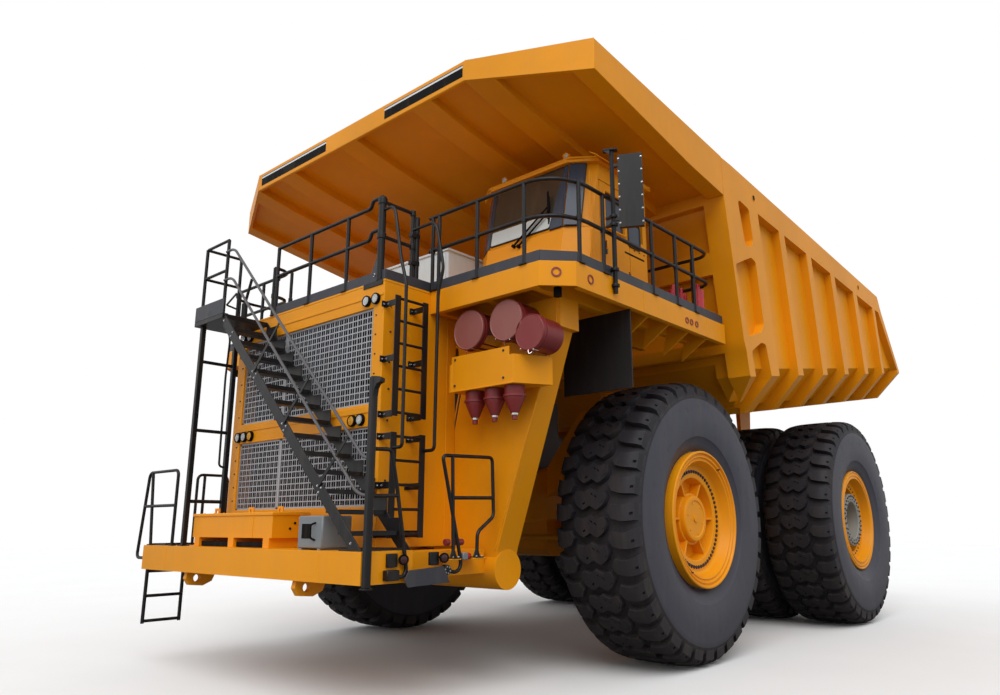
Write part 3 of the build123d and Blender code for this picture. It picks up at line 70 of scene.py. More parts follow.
def setCamera(fit):
    wide, tall = fit["imagePixels"]
    lens = bpy.data.cameras.new("photoCamera")
    lens.sensor_width = fit["sensor"]
    lens.lens = fit["focalPixels"] / wide * fit["sensor"]
    lens.shift_x = (wide / 2 - fit["middlePixels"][0]) / wide
    lens.shift_y = (fit["middlePixels"][1] - tall / 2) / wide
    lens.clip_end = 300
    camera = bpy.data.objects.new("photoCamera", lens)
    bpy.context.scene.collection.objects.link(camera)
    turn = (Matrix.Rotation(radians(fit["yaw"]), 4, "Z") @ Matrix.Rotation(radians(90 + fit["pitch"]), 4, "X")
            @ Matrix.Rotation(radians(fit["roll"]), 4, "Z"))
    camera.matrix_world = Matrix.Translation(Vector(fit["place"]) + toFrame) @ turn
    bpy.context.scene.camera = camera


setCamera(cameraFit)
bpy.context.scene.view_settings.view_transform = "Standard"


# Shader groups
def colour(red, green, blue):
    # a colour as it is seen on screen, 0 to 255, made linear
    parts = [v / 255 for v in (red, green, blue)]
    return tuple(v / 12.92 if v <= 0.04045 else ((v + 0.055) / 1.055) ** 2.4 for v in parts) + (1.0,)


def startGroup(name, inputs, outputs):
    group = bpy.data.node_groups.new(name, "ShaderNodeTree")
    for label, kind, value in inputs:
        socket = group.interface.new_socket(name=label, in_out="INPUT", socket_type=kind)
        socket.default_value = value
    for label, kind in outputs:
        group.interface.new_socket(name=label, in_out="OUTPUT", socket_type=kind)
    return group, group.nodes.new("NodeGroupInput"), group.nodes.new("NodeGroupOutput")


def addNode(tree, kind, settings=None, **values):
    # settings are the node's own properties, values go to its input sockets by name or _number
    node = tree.nodes.new("ShaderNode" + kind)
    for key, value in (settings or {}).items():
        setattr(node, key, value)
    for key, value in values.items():
        socket = node.inputs[int(key[1:])] if key[0] == "_" else node.inputs[key.replace("_", " ")]
        if isinstance(value, bpy.types.NodeSocket):
            tree.links.new(value, socket)
        else:
            socket.default_value = value
    return node


def noiseMask(tree, place, scale, low, high, detail=4.0):
    # noise cut to a mask between two levels
    grain = addNode(tree, "TexNoise", Vector=place, Scale=scale, Detail=detail, Roughness=0.6)
    return addNode(tree, "MapRange", _0=grain.outputs[0], _1=low, _2=high).outputs[0]


def reckon(tree, operation, *values):
    # one step of arithmetic on shader values
    given = {f"_{n}": value for n, value in enumerate(values)}
    return addNode(tree, "Math", {"operation": operation}, **given).outputs[0]


def mixColours(tree, share, first, second):
    return addNode(tree, "Mix", {"data_type": "RGBA"}, _0=share, _6=first, _7=second).outputs[2]


def weatherGroup():
    # broad tone changes, dust that thickens towards the ground, fine grain and rubbed edges
    group, given, result = startGroup(
        "weather",
        (("Colour", "NodeSocketColor", (0.8, 0.8, 0.8, 1)),
         ("Dust colour", "NodeSocketColor", colour(150, 128, 100)),
         ("Edge colour", "NodeSocketColor", (1, 1, 1, 1)),
         ("Dust", "NodeSocketFloat", 0.3), ("Dust top", "NodeSocketFloat", 2.0),
         ("Edge wear", "NodeSocketFloat", 0.3), ("Shine", "NodeSocketFloat", 0.35),
         ("Grain", "NodeSocketFloat", 60.0)),
        (("Colour", "NodeSocketColor"), ("Roughness", "NodeSocketFloat"), ("Height", "NodeSocketFloat")))
    place = addNode(group, "TexCoord").outputs["Object"]
    broad = noiseMask(group, place, 0.55, 0.3, 0.7)
    streaks = addNode(group, "Mapping", Vector=place, Scale=(3.0, 3.0, 0.35)).outputs[0]
    streak = noiseMask(group, streaks, 2.2, 0.5, 0.75)
    spots = noiseMask(group, place, 9.0, 0.55, 0.75, 6.0)
    height = addNode(group, "SeparateXYZ", Vector=place).outputs["Z"]
    low = addNode(group, "MapRange", _0=height, _1=0.2, _2=given.outputs["Dust top"], _3=1.0,
                  _4=0.12).outputs[0]
    loose = reckon(group, "MULTIPLY_ADD", broad, 0.6, 0.4)
    dusty = reckon(group, "MULTIPLY", reckon(group, "MULTIPLY", low, loose), given.outputs["Dust"])
    grey = addNode(group, "CombineColor", _0=broad, _1=broad, _2=broad).outputs[0]
    darker = addNode(group, "Mix", {"data_type": "RGBA", "blend_type": "MULTIPLY"}, _0=0.16,
                     _6=given.outputs["Colour"], _7=grey).outputs[2]
    faint = reckon(group, "MULTIPLY", streak, 0.07)
    streaked = mixColours(group, faint, darker, given.outputs["Dust colour"])
    dusted = mixColours(group, dusty, streaked, given.outputs["Dust colour"])
    # rubbed edges: where the rounded normal leaves the surface's own
    rounded = addNode(group, "Bevel", {"samples": 3}, Radius=0.018).outputs[0]
    own = addNode(group, "NewGeometry").outputs["Normal"]
    along = addNode(group, "VectorMath", {"operation": "DOT_PRODUCT"}, _0=rounded, _1=own).outputs["Value"]
    edge = addNode(group, "MapRange", _0=along, _1=0.995, _2=0.86, _3=0.0, _4=1.0).outputs[0]
    ragged = noiseMask(group, place, 22.0, 0.35, 0.65)
    edge = reckon(group, "MULTIPLY", reckon(group, "MULTIPLY", edge, ragged), given.outputs["Edge wear"])
    worn = mixColours(group, edge, dusted, given.outputs["Edge colour"])
    group.links.new(worn, result.inputs["Colour"])
    rough = reckon(group, "MULTIPLY_ADD", spots, 0.12, given.outputs["Shine"])
    rough = reckon(group, "MULTIPLY_ADD", dusty, 0.5, rough)
    group.links.new(rough, result.inputs["Roughness"])
    peel = addNode(group, "TexNoise", Vector=place, Scale=given.outputs["Grain"], Detail=3.0).outputs[0]
    dents = addNode(group, "TexNoise", Vector=place, Scale=1.7, Detail=1.0).outputs[0]
    relief = reckon(group, "MULTIPLY_ADD", dents, 3.0, peel)
    group.links.new(relief, result.inputs["Height"])
    return group


weather = weatherGroup()


def finish(name, base, dust=0.3, dustTop=2.2, wear=0.3, edge=None, shine=0.35, grain=60.0, relief=0.0006,
           metal=0.0, coat=0.0, specular=0.5):
    # a painted, cast or rubber surface with the shared weather group
    material = bpy.data.materials.new(name)
    material.use_nodes = True
    tree = material.node_tree
    shader = tree.nodes["Principled BSDF"]
    look = tree.nodes.new("ShaderNodeGroup")
    look.node_tree = weather
    rubbed = edge or tuple(min(1, c * 1.6 + 0.05) for c in base[:3]) + (1.0,)
    for label, value in (("Colour", base), ("Dust", dust), ("Dust top", dustTop), ("Edge wear", wear),
                         ("Shine", shine), ("Grain", grain), ("Edge colour", rubbed)):
        look.inputs[label].default_value = value
    bump = addNode(tree, "Bump", Strength=0.5, Distance=relief, Height=look.outputs["Height"])
    tree.links.new(look.outputs["Colour"], shader.inputs["Base Color"])
    tree.links.new(look.outputs["Roughness"], shader.inputs["Roughness"])
    tree.links.new(bump.outputs[0], shader.inputs["Normal"])
    shader.inputs["Metallic"].default_value = metal
    shader.inputs["Coat Weight"].default_value = coat
    shader.inputs["Coat Roughness"].default_value = 0.1
    shader.inputs["Specular IOR Level"].default_value = specular
    return material


def clearFinish(name, tint, roughness, passing):
    # glass with faint smears
    material = bpy.data.materials.new(name)
    material.use_nodes = True
    tree = material.node_tree
    shader = tree.nodes["Principled BSDF"]
    place = addNode(tree, "TexCoord").outputs["Object"]
    smear = noiseMask(tree, place, 3.0, 0.4, 0.8)
    rough = reckon(tree, "MULTIPLY_ADD", smear, 0.06, roughness)
    tree.links.new(rough, shader.inputs["Roughness"])
    shader.inputs["Base Color"].default_value = tint
    shader.inputs["Transmission Weight"].default_value = passing
    shader.inputs["IOR"].default_value = 1.45
    return material


paint = finish("yellowEnamel", colour(242, 156, 10), dust=0.02, wear=0.2, shine=0.42, grain=90, relief=0.0004,
               coat=0.03, specular=0.2)
steelBlack = finish("charcoalEnamel", colour(15, 15, 19), dust=0.03, wear=0.2, edge=colour(70, 70, 78),
                    shine=0.4, specular=0.35)
toeGrey = finish("toeBoardGrey", colour(50, 52, 62), dust=0.05, wear=0.2, edge=colour(100, 100, 106),
                 shine=0.5)
boxGrey = finish("boxGrey", colour(122, 128, 132), dust=0.05, wear=0.3, edge=colour(190, 190, 190),
                 shine=0.45)
cabinetWhite = finish("cabinetPale", colour(206, 216, 220), dust=0.03, wear=0.2, shine=0.4)
maroon = finish("maroonEnamel", colour(132, 36, 38), dust=0.06, wear=0.25, shine=0.42)
signalRed = finish("bottleRed", colour(190, 28, 48), dust=0.1, wear=0.2, shine=0.25, coat=0.3)
meshSteel = finish("meshSteel", colour(176, 178, 184), dust=0.05, wear=0.1, shine=0.42, metal=0.2)
rubber = finish("tyreRubber", colour(36, 35, 42), dust=0.06, dustTop=3.0, wear=0.25, edge=colour(84, 82, 84),
                shine=0.62, grain=140, relief=0.0012, specular=0.35)
sideRubber = finish("sidewallRubber", colour(60, 62, 74), dust=0.05, dustTop=3.0, wear=0.2,
                    edge=colour(92, 92, 98), shine=0.5, grain=200, relief=0.0006, specular=0.4)
flapRubber = finish("flapRubber", colour(16, 16, 20), dust=0.04, wear=0.3, edge=colour(70, 70, 74), shine=0.6,
                    grain=160, relief=0.001)
darkSteel = finish("darkSteel", colour(52, 52, 56), dust=0.2, wear=0.35, edge=colour(130, 130, 130),
                   shine=0.4, metal=0.5)
hubGrey = finish("hubGrey", colour(140, 142, 136), dust=0.25, wear=0.3, shine=0.5)
castGrey = finish("castGrey", colour(88, 88, 90), dust=0.3, wear=0.3, shine=0.55, grain=30, relief=0.002)
brightSteel = finish("brightRod", colour(215, 217, 220), dust=0.05, wear=0.0, shine=0.12, metal=1.0)
bandBlack = finish("bandBlack", colour(6, 6, 8), dust=0.0, wear=0.0, shine=0.6, specular=0.1)
bandNavy = finish("bandNavy", colour(28, 40, 92), dust=0.05, wear=0.2, shine=0.35)
bandWhite = finish("bandWhite", colour(232, 232, 228), dust=0.05, wear=0.2, shine=0.35)
seatCloth = finish("seatTrim", colour(38, 38, 42), dust=0.1, wear=0.2, shine=0.7, grain=300, relief=0.001)
wornRail = finish("wornRail", colour(96, 96, 100), dust=0.03, wear=0.3, edge=colour(50, 50, 54), shine=0.33,
                  metal=0.4)
darkLens = finish("darkLens", colour(58, 18, 24), dust=0.0, wear=0.0, shine=0.1)
capPink = finish("capPaint", colour(150, 84, 78), dust=0.2, wear=0.25, shine=0.45)
gasket = finish("windowGasket", colour(26, 27, 30), dust=0.05, wear=0.2, shine=0.5)
amber = clearFinish("amberLens", colour(244, 176, 24), 0.12, 0.4)
clearLens = clearFinish("clearLens", colour(236, 238, 238), 0.05, 0.6)
redLens = clearFinish("redLens", colour(190, 24, 22), 0.12, 0.3)
# painted shade: the windscreen glass is opaque, and its dark olive is the shaded cab inside painted onto it
screenGlass = finish("screenGlass", colour(66, 62, 52), dust=0.0, wear=0.0, shine=0.06, specular=0.7)
# painted reflection: the lower windscreen pane is opaque pale grey, standing for the sky's reflection in the
# glass
paintedReflectionGlass = finish("paintedReflectionGlass", colour(206, 212, 210), dust=0.0, wear=0.0, shine=0.12)
# painted shade: the side, corner and door panes are opaque, and their dark blue-grey is the shaded cab inside
# painted onto them
paneGlass = finish("paneGlass", colour(58, 68, 84), dust=0.0, wear=0.0, shine=0.16, specular=0.3)
reflector = finish("reflector", colour(225, 226, 226), dust=0.0, wear=0.0, shine=0.12, metal=0.9)
print("materials made")


# Shaping helpers
def finishPiece(name, bm, materials, body, replaced=(), sharp=38, weighted=True):
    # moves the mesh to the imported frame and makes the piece; replaced names the CAD nodes it stands for
    bmesh.ops.translate(bm, vec=toFrame, verts=bm.verts)
    for edge in bm.edges:
        if len(edge.link_faces) == 2 and edge.calc_face_angle(0) > radians(sharp):
            edge.smooth = False
    for each in bm.faces:
        each.smooth = True
    mesh = bpy.data.meshes.new(name)
    bm.to_mesh(mesh)
    bm.free()
    for material in materials:
        mesh.materials.append(material)
    piece = bpy.data.objects.new(name, mesh)
    bpy.context.scene.collection.objects.link(piece)
    if weighted:
        normals = piece.modifiers.new("faceNormals", "WEIGHTED_NORMAL")
        normals.keep_sharp = True
    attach(piece, body)
    if replaced:
        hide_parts(*replaced)
    return piece


def setMaterial(verts, index):
    for each in {f for v in verts for f in v.link_faces}:
        each.material_index = index


def sharpEdges(edges, angle):
    return list({e for e in edges if len(e.link_faces) == 2 and e.calc_face_angle(0) > radians(angle)})


def bevelEdges(bm, edges, width, segments):
    bmesh.ops.bevel(bm, geom=edges, offset=width, offset_type="OFFSET", segments=segments, profile=0.5,
                    affect="EDGES", material=-1, clamp_overlap=True)


def roundEdges(bm, verts, width):
    if width:
        bevelEdges(bm, sharpEdges([e for v in verts for e in v.link_edges], 25), width, 1)


def around(middle, half):
    return middle - half, middle + half


def addBox(bm, x, y, z, bevel=0.004, index=0):
    low = Vector((min(x), min(y), min(z)))
    high = Vector((max(x), max(y), max(z)))
    span = high - low
    move = Matrix.Translation((low + high) / 2) @ Matrix.Diagonal((*span, 1))
    made = bmesh.ops.create_cube(bm, size=1, matrix=move)["verts"]
    setMaterial(made, index)
    roundEdges(bm, made, min(bevel, min(span) * 0.3))


def axisTurn(direction):
    return Vector(direction).to_track_quat("Z", "Y").to_matrix().to_4x4()


def addRod(bm, start, end, radius, sides=16, index=0, bevel=0.0, tip=None):
    # round bar, or a cone where tip gives the other end's radius
    start, end = Vector(start), Vector(end)
    move = Matrix.Translation((start + end) / 2) @ axisTurn(end - start)
    made = bmesh.ops.create_cone(bm, cap_ends=True, segments=sides, radius1=radius,
                                 radius2=radius if tip is None else tip,
                                 depth=(end - start).length, matrix=move)["verts"]
    setMaterial(made, index)
    if bevel:
        bevelEdges(bm, sharpEdges([e for v in made for e in v.link_edges], 50), bevel, 2)


def addPlate(bm, outline, thickness, bevel=0.003, index=0):
    # flat outline of points, thickened along a vector
    corners = [bm.verts.new(p) for p in outline]
    plate = bm.faces.new(corners)
    thick = bmesh.ops.extrude_face_region(bm, geom=[plate])["geom"]
    far = [g for g in thick if isinstance(g, bmesh.types.BMVert)]
    bmesh.ops.translate(bm, vec=Vector(thickness), verts=far)
    both = corners + far
    bmesh.ops.recalc_face_normals(bm, faces=list({f for v in both for f in v.link_faces}))
    setMaterial(both, index)
    roundEdges(bm, both, bevel)


def addLathe(bm, profile, centre, axis=(1, 0, 0), steps=64, index=0):
    # profile of (offset along the axis, radius), turned once round
    axis = Vector(axis).normalized()
    out = axis.orthogonal().normalized()
    centre = Vector(centre)
    line = [bm.verts.new(centre + axis * along + out * radius) for along, radius in profile]
    edges = [bm.edges.new(pair) for pair in zip(line, line[1:] + line[:1])]
    before = set(bm.faces)
    bmesh.ops.spin(bm, geom=line + edges, cent=centre, axis=axis, angle=2 * pi, steps=steps, use_merge=True,
                   use_duplicate=False)
    made = [f for f in bm.faces if f not in before]
    verts = list({v for f in made for v in f.verts})
    bmesh.ops.remove_doubles(bm, verts=verts, dist=0.0001)
    made = [f for f in bm.faces if f not in before]
    bmesh.ops.recalc_face_normals(bm, faces=made)
    for each in made:
        each.material_index = index


def addPipe(bm, points, radius, bend=0.09, sides=10, index=0, closed=False):
    # bent pipe: the corners of a wire are rounded, then a curve's bevel gives it its thickness
    wire = bmesh.new()
    stops = [wire.verts.new(p) for p in points]
    for a, b in zip(stops, stops[1:] + ([stops[0]] if closed else [])):
        wire.edges.new((a, b))
    corners = [v for v in wire.verts if len(v.link_edges) == 2]
    if corners:
        bmesh.ops.bevel(wire, geom=corners, offset=bend, offset_type="OFFSET", segments=4, profile=0.5,
                        affect="VERTICES", material=-1, clamp_overlap=True)
    wire.verts.ensure_lookup_table()
    ends = [v for v in wire.verts if len(v.link_edges) == 1]
    at = ends[0] if ends else wire.verts[0]
    if ends and (ends[0].co - Vector(points[0])).length > (ends[1].co - Vector(points[0])).length:
        at = ends[1]
    route, came = [at.co.copy()], None
    while True:
        nexts = [e for e in at.link_edges if e is not came]
        if not nexts:
            break
        came = nexts[0]
        at = came.other_vert(at)
        if (at.co - route[0]).length < 1e-6:
            break
        route.append(at.co.copy())
    wire.free()
    curve = bpy.data.curves.new("pipeRoute", "CURVE")
    curve.dimensions = "3D"
    curve.bevel_depth = radius
    curve.bevel_resolution = max(0, (sides - 4) // 2)
    curve.use_fill_caps = not closed
    spline = curve.splines.new("POLY")
    spline.points.add(len(route) - 1)
    for point, stop in zip(spline.points, route):
        point.co = (*stop, 1)
    spline.use_cyclic_u = closed
    carrier = bpy.data.objects.new("pipeRoute", curve)
    made = bpy.data.meshes.new_from_object(carrier)
    first = len(bm.verts)
    bm.from_mesh(made)
    bm.verts.ensure_lookup_table()
    fresh = list(bm.verts)[first:]
    setMaterial(fresh, index)
    bpy.data.objects.remove(carrier)
    bpy.data.curves.remove(curve)
    bpy.data.meshes.remove(made)


def addBolt(bm, place, axis, size=0.018, index=0):
    # hexagon head on a washer
    place, axis = Vector(place), Vector(axis).normalized()
    addRod(bm, place, place + axis * size * 0.25, size * 1.15, 12, index)
    addRod(bm, place + axis * size * 0.2, place + axis * size * 0.95, size * 0.85, 6, index, tip=size * 0.8)


def addBoltRing(bm, centre, axis, ring, count, size=0.018, index=0):
    centre, axis = Vector(centre), Vector(axis).normalized()
    out = axis.orthogonal().normalized()
    for n in range(count):
        turn = Matrix.Rotation(2 * pi * n / count, 4, axis)
        addBolt(bm, centre + turn @ (out * ring), axis, size, index)


def mirrorPiece(bm):
    # the same on the truck's other side
    half = bmesh.ops.duplicate(bm, geom=bm.verts[:] + bm.edges[:] + bm.faces[:])["geom"]
    verts = [g for g in half if isinstance(g, bmesh.types.BMVert)]
    faces = [g for g in half if isinstance(g, bmesh.types.BMFace)]
    bmesh.ops.scale(bm, vec=(-1, 1, 1), verts=verts)
    bmesh.ops.reverse_faces(bm, faces=faces)


def nodeCopy(node, bevel, reshape):
    # a CAD node's mesh, merged and with its plates' edges rounded; reshape moves its corners first
    bm = bmesh.new()
    bm.from_mesh(nodes[node].data)
    bmesh.ops.remove_doubles(bm, verts=bm.verts, dist=0.0002)
    bmesh.ops.dissolve_limit(bm, angle_limit=radians(0.8), verts=bm.verts, edges=bm.edges,
                             delimit={"NORMAL"})
    if reshape:
        for v in bm.verts:
            v.co = reshape(v.co - toFrame) + toFrame
    bevelEdges(bm, [e for e in bm.edges if len(e.link_faces) == 2 and e.calc_face_angle(0) > radians(24)],
               bevel, 2)
    bmesh.ops.translate(bm, vec=-toFrame, verts=bm.verts)
    for each in bm.faces:
        each.material_index = 0
    return bm


def coatNode(node, material):
    mesh = nodes[node].data
    mesh.materials.clear()
    mesh.materials.append(material)


# Tyres
tyreShape = {
    "pitches": 36,
    "carcass": (
        # offset from the tyre's middle, radius, outer half
        (0.0, 1.724), (0.22, 1.722), (0.40, 1.708), (0.50, 1.672), (0.545, 1.625), (0.562, 1.585),
        (0.574, 1.560), (0.577, 1.500), (0.585, 1.400), (0.585, 1.290), (0.578, 1.180), (0.560, 1.080),
        (0.556, 1.060), (0.540, 1.045), (0.512, 0.965), (0.486, 0.915), (0.452, 0.880), (0.449, 0.795),
    ),
    "crown": 1.797,           # tread's radius in the middle
    "blockWidth": 0.245,      # half width of a middle block
    "blockLength": 0.62,      # share of the pitch
    "wave": 0.030,
    "shoulderFrom": 0.262,
    "shoulderTo": 0.560,
    "topLean": (0.07, 0.10),  # how far a block's top draws in, across and along
    "sipeWidth": 0.012,
    "sipeDepth": 0.38,        # share of the block's height
    "rubberFrom": 1.57,       # tread rubber outside this radius
}


def crownRadius(across):
    # the tread's outer surface falls away towards the shoulders
    reach = abs(across)
    return tyreShape["crown"] - 0.055 * (reach / 0.56) ** 4 - 0.05 * max(0, (reach - 0.45) / 0.11) ** 2


def floorRadius(across):
    line = tyreShape["carcass"]
    for (x1, r1), (x2, r2) in zip(line, line[1:]):
        if x1 <= abs(across) <= x2:
            return r1 + (r2 - r1) * (abs(across) - x1) / (x2 - x1)
    return line[-1][1]


def blockTops(bm, cells, shape, sipes):
    # one tread block: a small grid shaped by shape(u, v), raised, with its slots sunk
    wide, long = cells
    made = bmesh.ops.create_grid(bm, x_segments=wide, y_segments=long, size=1)["verts"]
    for v in made:
        v.co = Vector(shape((v.co.x + 1) / 2, (v.co.y + 1) / 2) + (0.0,))
    faces = list({f for v in made for f in v.link_faces})
    up = bmesh.ops.extrude_face_region(bm, geom=faces)["geom"]
    top = [g for g in up if isinstance(g, bmesh.types.BMVert)]
    topFaces = [g for g in up if isinstance(g, bmesh.types.BMFace)]
    bmesh.ops.translate(bm, vec=(0, 0, 1), verts=top)
    bmesh.ops.delete(bm, geom=faces, context="FACES")
    middle = sum((v.co for v in top), Vector()) / len(top)
    for v in top:
        v.co.x += (middle.x - v.co.x) * tyreShape["topLean"][0]
        v.co.y += (middle.y - v.co.y) * tyreShape["topLean"][1]
    if sipes:
        ordered = sorted(topFaces, key=lambda f: (round(f.calc_center_median().y, 3),
                                                  f.calc_center_median().x))
        chosen = [ordered[n] for n in sipes]
        slots = bmesh.ops.inset_individual(bm, faces=chosen, thickness=tyreShape["sipeWidth"],
                                           depth=0.0)["faces"]
        sunk = bmesh.ops.extrude_discrete_faces(bm, faces=chosen)["faces"]
        bmesh.ops.translate(bm, vec=(0, 0, -tyreShape["sipeDepth"]),
                            verts=list({v for f in sunk for v in f.verts}))
        for f in sunk + slots:
            f.material_index = 0


def middleBlock(u, v):
    half, pitch = tyreShape["blockWidth"], 2 * pi * tyreShape["crown"] / tyreShape["pitches"]
    across = (u - 0.5) * 2
    ends = 1 - 0.22 * max(0, abs(across) - 0.72) / 0.28
    along = (v - 0.5) * pitch * tyreShape["blockLength"] * 1.16 * ends
    shift = -tyreShape["wave"] * cos(across * 2 * pi) * (1 - 0.3 * abs(across))
    side = half * (0.84 + 0.16 * (1 - abs(v - 0.5) * 2))
    return across * side, along + shift


def shoulderBlock(u, v):
    low, high = tyreShape["shoulderFrom"], tyreShape["shoulderTo"]
    pitch = 2 * pi * tyreShape["crown"] / tyreShape["pitches"]
    width = pitch * (0.60 + 0.16 * u ** 2)
    start = low - 0.05 * (1 - abs(v - 0.5) * 2) + 0.02
    shift = 0.028 * sin(u * pi) - 0.02
    return start + (high - start) * u, (v - 0.5) * width + shift


def treadPitch():
    # blocks of one pitch in a flat strip: x across, y along the tread, z from 0 at the floor to 1 at the top
    bm = bmesh.new()
    blockTops(bm, (8, 5), middleBlock, (9, 14, 25, 30))
    pitch = 2 * pi * tyreShape["crown"] / tyreShape["pitches"]
    for side in (1, -1):
        part = bmesh.new()
        blockTops(part, (6, 4), shoulderBlock, (13,))
        bmesh.ops.translate(part, vec=(0, pitch / 2, 0), verts=part.verts)
        if side < 0:
            bmesh.ops.scale(part, vec=(-1, 1, 1), verts=part.verts)
            bmesh.ops.reverse_faces(part, faces=part.faces)
        held = bpy.data.meshes.new("shoulder")
        part.to_mesh(held)
        part.free()
        bm.from_mesh(held)
        bpy.data.meshes.remove(held)
    return bm


def makeTyreMesh():
    # one tyre about the origin, its axle along x
    bm = bmesh.new()
    half = tyreShape["carcass"]
    profile = [(-x, r) for x, r in reversed(half[1:])] + list(half)
    addLathe(bm, profile, (0, 0, 0), steps=108, index=1)
    for each in bm.faces:
        middle = each.calc_center_median()
        if hypot(middle.y, middle.z) > tyreShape["rubberFrom"]:
            each.material_index = 0
    pitchMesh = bpy.data.meshes.new("pitch")
    strip = treadPitch()
    strip.to_mesh(pitchMesh)
    strip.free()
    step = 2 * pi / tyreShape["pitches"]
    for n in range(tyreShape["pitches"]):
        first = len(bm.verts)
        bm.from_mesh(pitchMesh)
        bm.verts.ensure_lookup_table()
        for v in list(bm.verts)[first:]:
            across, along, rise = v.co
            low, high = floorRadius(across) - 0.02, crownRadius(across)
            radius = low + (high - low) * rise
            angle = n * step + along / tyreShape["crown"]
            v.co = Vector((across, -radius * sin(angle), radius * cos(angle)))
    mesh = bpy.data.meshes.new("tyre")
    bm.to_mesh(mesh)
    bm.free()
    bpy.data.meshes.remove(pitchMesh)
    return mesh


def placeTyres(mesh, name, places, body, node):
    bm = bmesh.new()
    for x, y, turn in places:
        first = len(bm.verts)
        bm.from_mesh(mesh)
        bm.verts.ensure_lookup_table()
        fresh = list(bm.verts)[first:]
        move = Matrix.Translation((x, y, axleHeight)) @ Matrix.Rotation(turn, 4, "X")
        bmesh.ops.transform(bm, matrix=move, verts=fresh)
    finishPiece(name, bm, (rubber, sideRubber), body, (node,), sharp=30, weighted=False)


tyreMesh = makeTyreMesh()
twinLow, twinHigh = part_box("tyres_rear_left")
halfTyre = tyreHigh.x - frontTyreX
outerTwinX = twinHigh.x - halfTyre
innerTwinX = twinLow.x + halfTyre
for sideName, sign in (("left", 1), ("right", -1)):
    placeTyres(tyreMesh, f"tread_front_{sideName}", [(sign * frontTyreX, 0, 0.05)],
               f"wheel_front_{sideName}", f"tyre_front_{sideName}")
    placeTyres(tyreMesh, f"tread_rear_{sideName}",
               [(sign * outerTwinX, rearAxleY, 0.02), (sign * innerTwinX, rearAxleY, 0.09)],
               f"wheels_rear_{sideName}", f"tyres_rear_{sideName}")
print("tyres made")


# Rims
rimShape = {
    "edge": 0.450,            # tyre's bead from the middle
    "lip": (
        # offset from the bead, radius: flange, lock ring and the step into the well
        (0.003, 0.800), (0.003, 0.868), (0.020, 0.872), (0.040, 0.866), (0.046, 0.850), (0.034, 0.836),
        (0.034, 0.826), (0.045, 0.818), (0.045, 0.792), (0.030, 0.784), (0.030, 0.760), (0.040, 0.752),
        (0.040, 0.738), (0.022, 0.728),
    ),
    "frontLip": (
        (0.003, 0.800), (0.003, 0.862), (0.080, 0.862), (0.112, 0.868), (0.122, 0.858), (0.122, 0.842),
        (0.108, 0.834), (0.092, 0.828), (0.092, 0.812), (0.104, 0.804), (0.104, 0.790), (0.088, 0.782),
        (0.078, 0.776), (0.078, 0.760), (0.090, 0.752), (0.088, 0.742),
    ),
    "frontWell": ((0.070, 0.734), (-0.010, 0.700), (-0.030, 0.690), (-0.042, 0.672), (-0.048, 0.655),
                  (-0.048, 0.540), (-0.060, 0.525), (-0.200, 0.505), (-0.215, 0.490), (-0.215, 0.350),
                  (-0.205, 0.338), (-0.110, 0.335), (-0.098, 0.325), (-0.098, 0.302), (-0.050, 0.296),
                  (-0.034, 0.284), (-0.030, 0.270), (-0.030, 0.235), (-0.042, 0.225), (-0.042, 0.0)),
    "frontBack": ((-0.50, 0.0), (-0.64, 0.151), (-0.64, 0.40), (-0.49, 0.46), (-0.46, 0.72), (-0.86, 0.73),
                  (-0.895, 0.74), (-0.895, 0.868), (-0.903, 0.868), (-0.903, 0.80), (-0.88, 0.79)),
    "studs": 60,
    "studRing": 0.608,
    "ribs": 6,
    "ribThick": 0.028,
    "ribRadii": (0.320, 0.525),       # at the hub and at the disc
    "ribOffsets": (-0.215, -0.085),   # its foot in the well and its head
    "studOffset": -0.050,
    "cap": (-0.044, 0.20, 6, 0.012),  # offset, bolt ring, bolt count and size
    "stems": (0.785, 0.05, 0.010),    # valve stems: ring radius, length, radius
}


def hubRibs(bm, x, sign):
    # radial plates between the hub and the disc
    count, thick = rimShape["ribs"], rimShape["ribThick"]
    inner, outer = rimShape["ribRadii"]
    foot, head = (rimShape["edge"] + offset for offset in rimShape["ribOffsets"])
    for n in range(count):
        turn = Matrix.Translation((x, 0, axleHeight)) @ Matrix.Rotation(2 * pi * (n + 0.5) / count, 4, "X")
        corners = [(foot, inner), (head, inner), (head + 0.01, outer), (foot, outer)]
        made = [turn @ Vector((sign * along, -thick / 2, radius)) for along, radius in corners]
        addPlate(bm, made, turn.to_3x3() @ Vector((0, thick, 0)), 0.004, 0)


def makeFrontRim(sideName, sign):
    bm = bmesh.new()
    edge, x, out = rimShape["edge"], sign * frontTyreX, (sign, 0, 0)
    profile = rimShape["frontLip"] + rimShape["frontWell"] + rimShape["frontBack"]
    addLathe(bm, [(edge + along, radius) for along, radius in profile], (x, 0, axleHeight), out, 96)
    hubRibs(bm, x, sign)
    studs = (x + sign * (edge + rimShape["studOffset"]), 0, axleHeight)
    addBoltRing(bm, studs, out, rimShape["studRing"], rimShape["studs"], 0.021, 1)
    offset, ring, count, size = rimShape["cap"]
    cap = Vector((x + sign * (edge + offset), 0, axleHeight))
    addBoltRing(bm, cap, out, ring, count, size, 0)
    addRod(bm, cap, cap + Vector((sign * 0.019, 0, 0)), 0.045, 24, 0, 0.004)
    ring, length, radius = rimShape["stems"]
    for turn in (0.6, 0.6 + pi):
        start = Vector((x + sign * (edge + 0.08), sin(turn) * ring, axleHeight + cos(turn) * ring))
        addRod(bm, start, start + Vector((sign * length, 0, 0)), radius, 8, 1)
    finishPiece(f"wheel_disc_front_{sideName}", bm, (paint, darkSteel), f"wheel_front_{sideName}",
                (f"rim_front_{sideName}",), sharp=40)


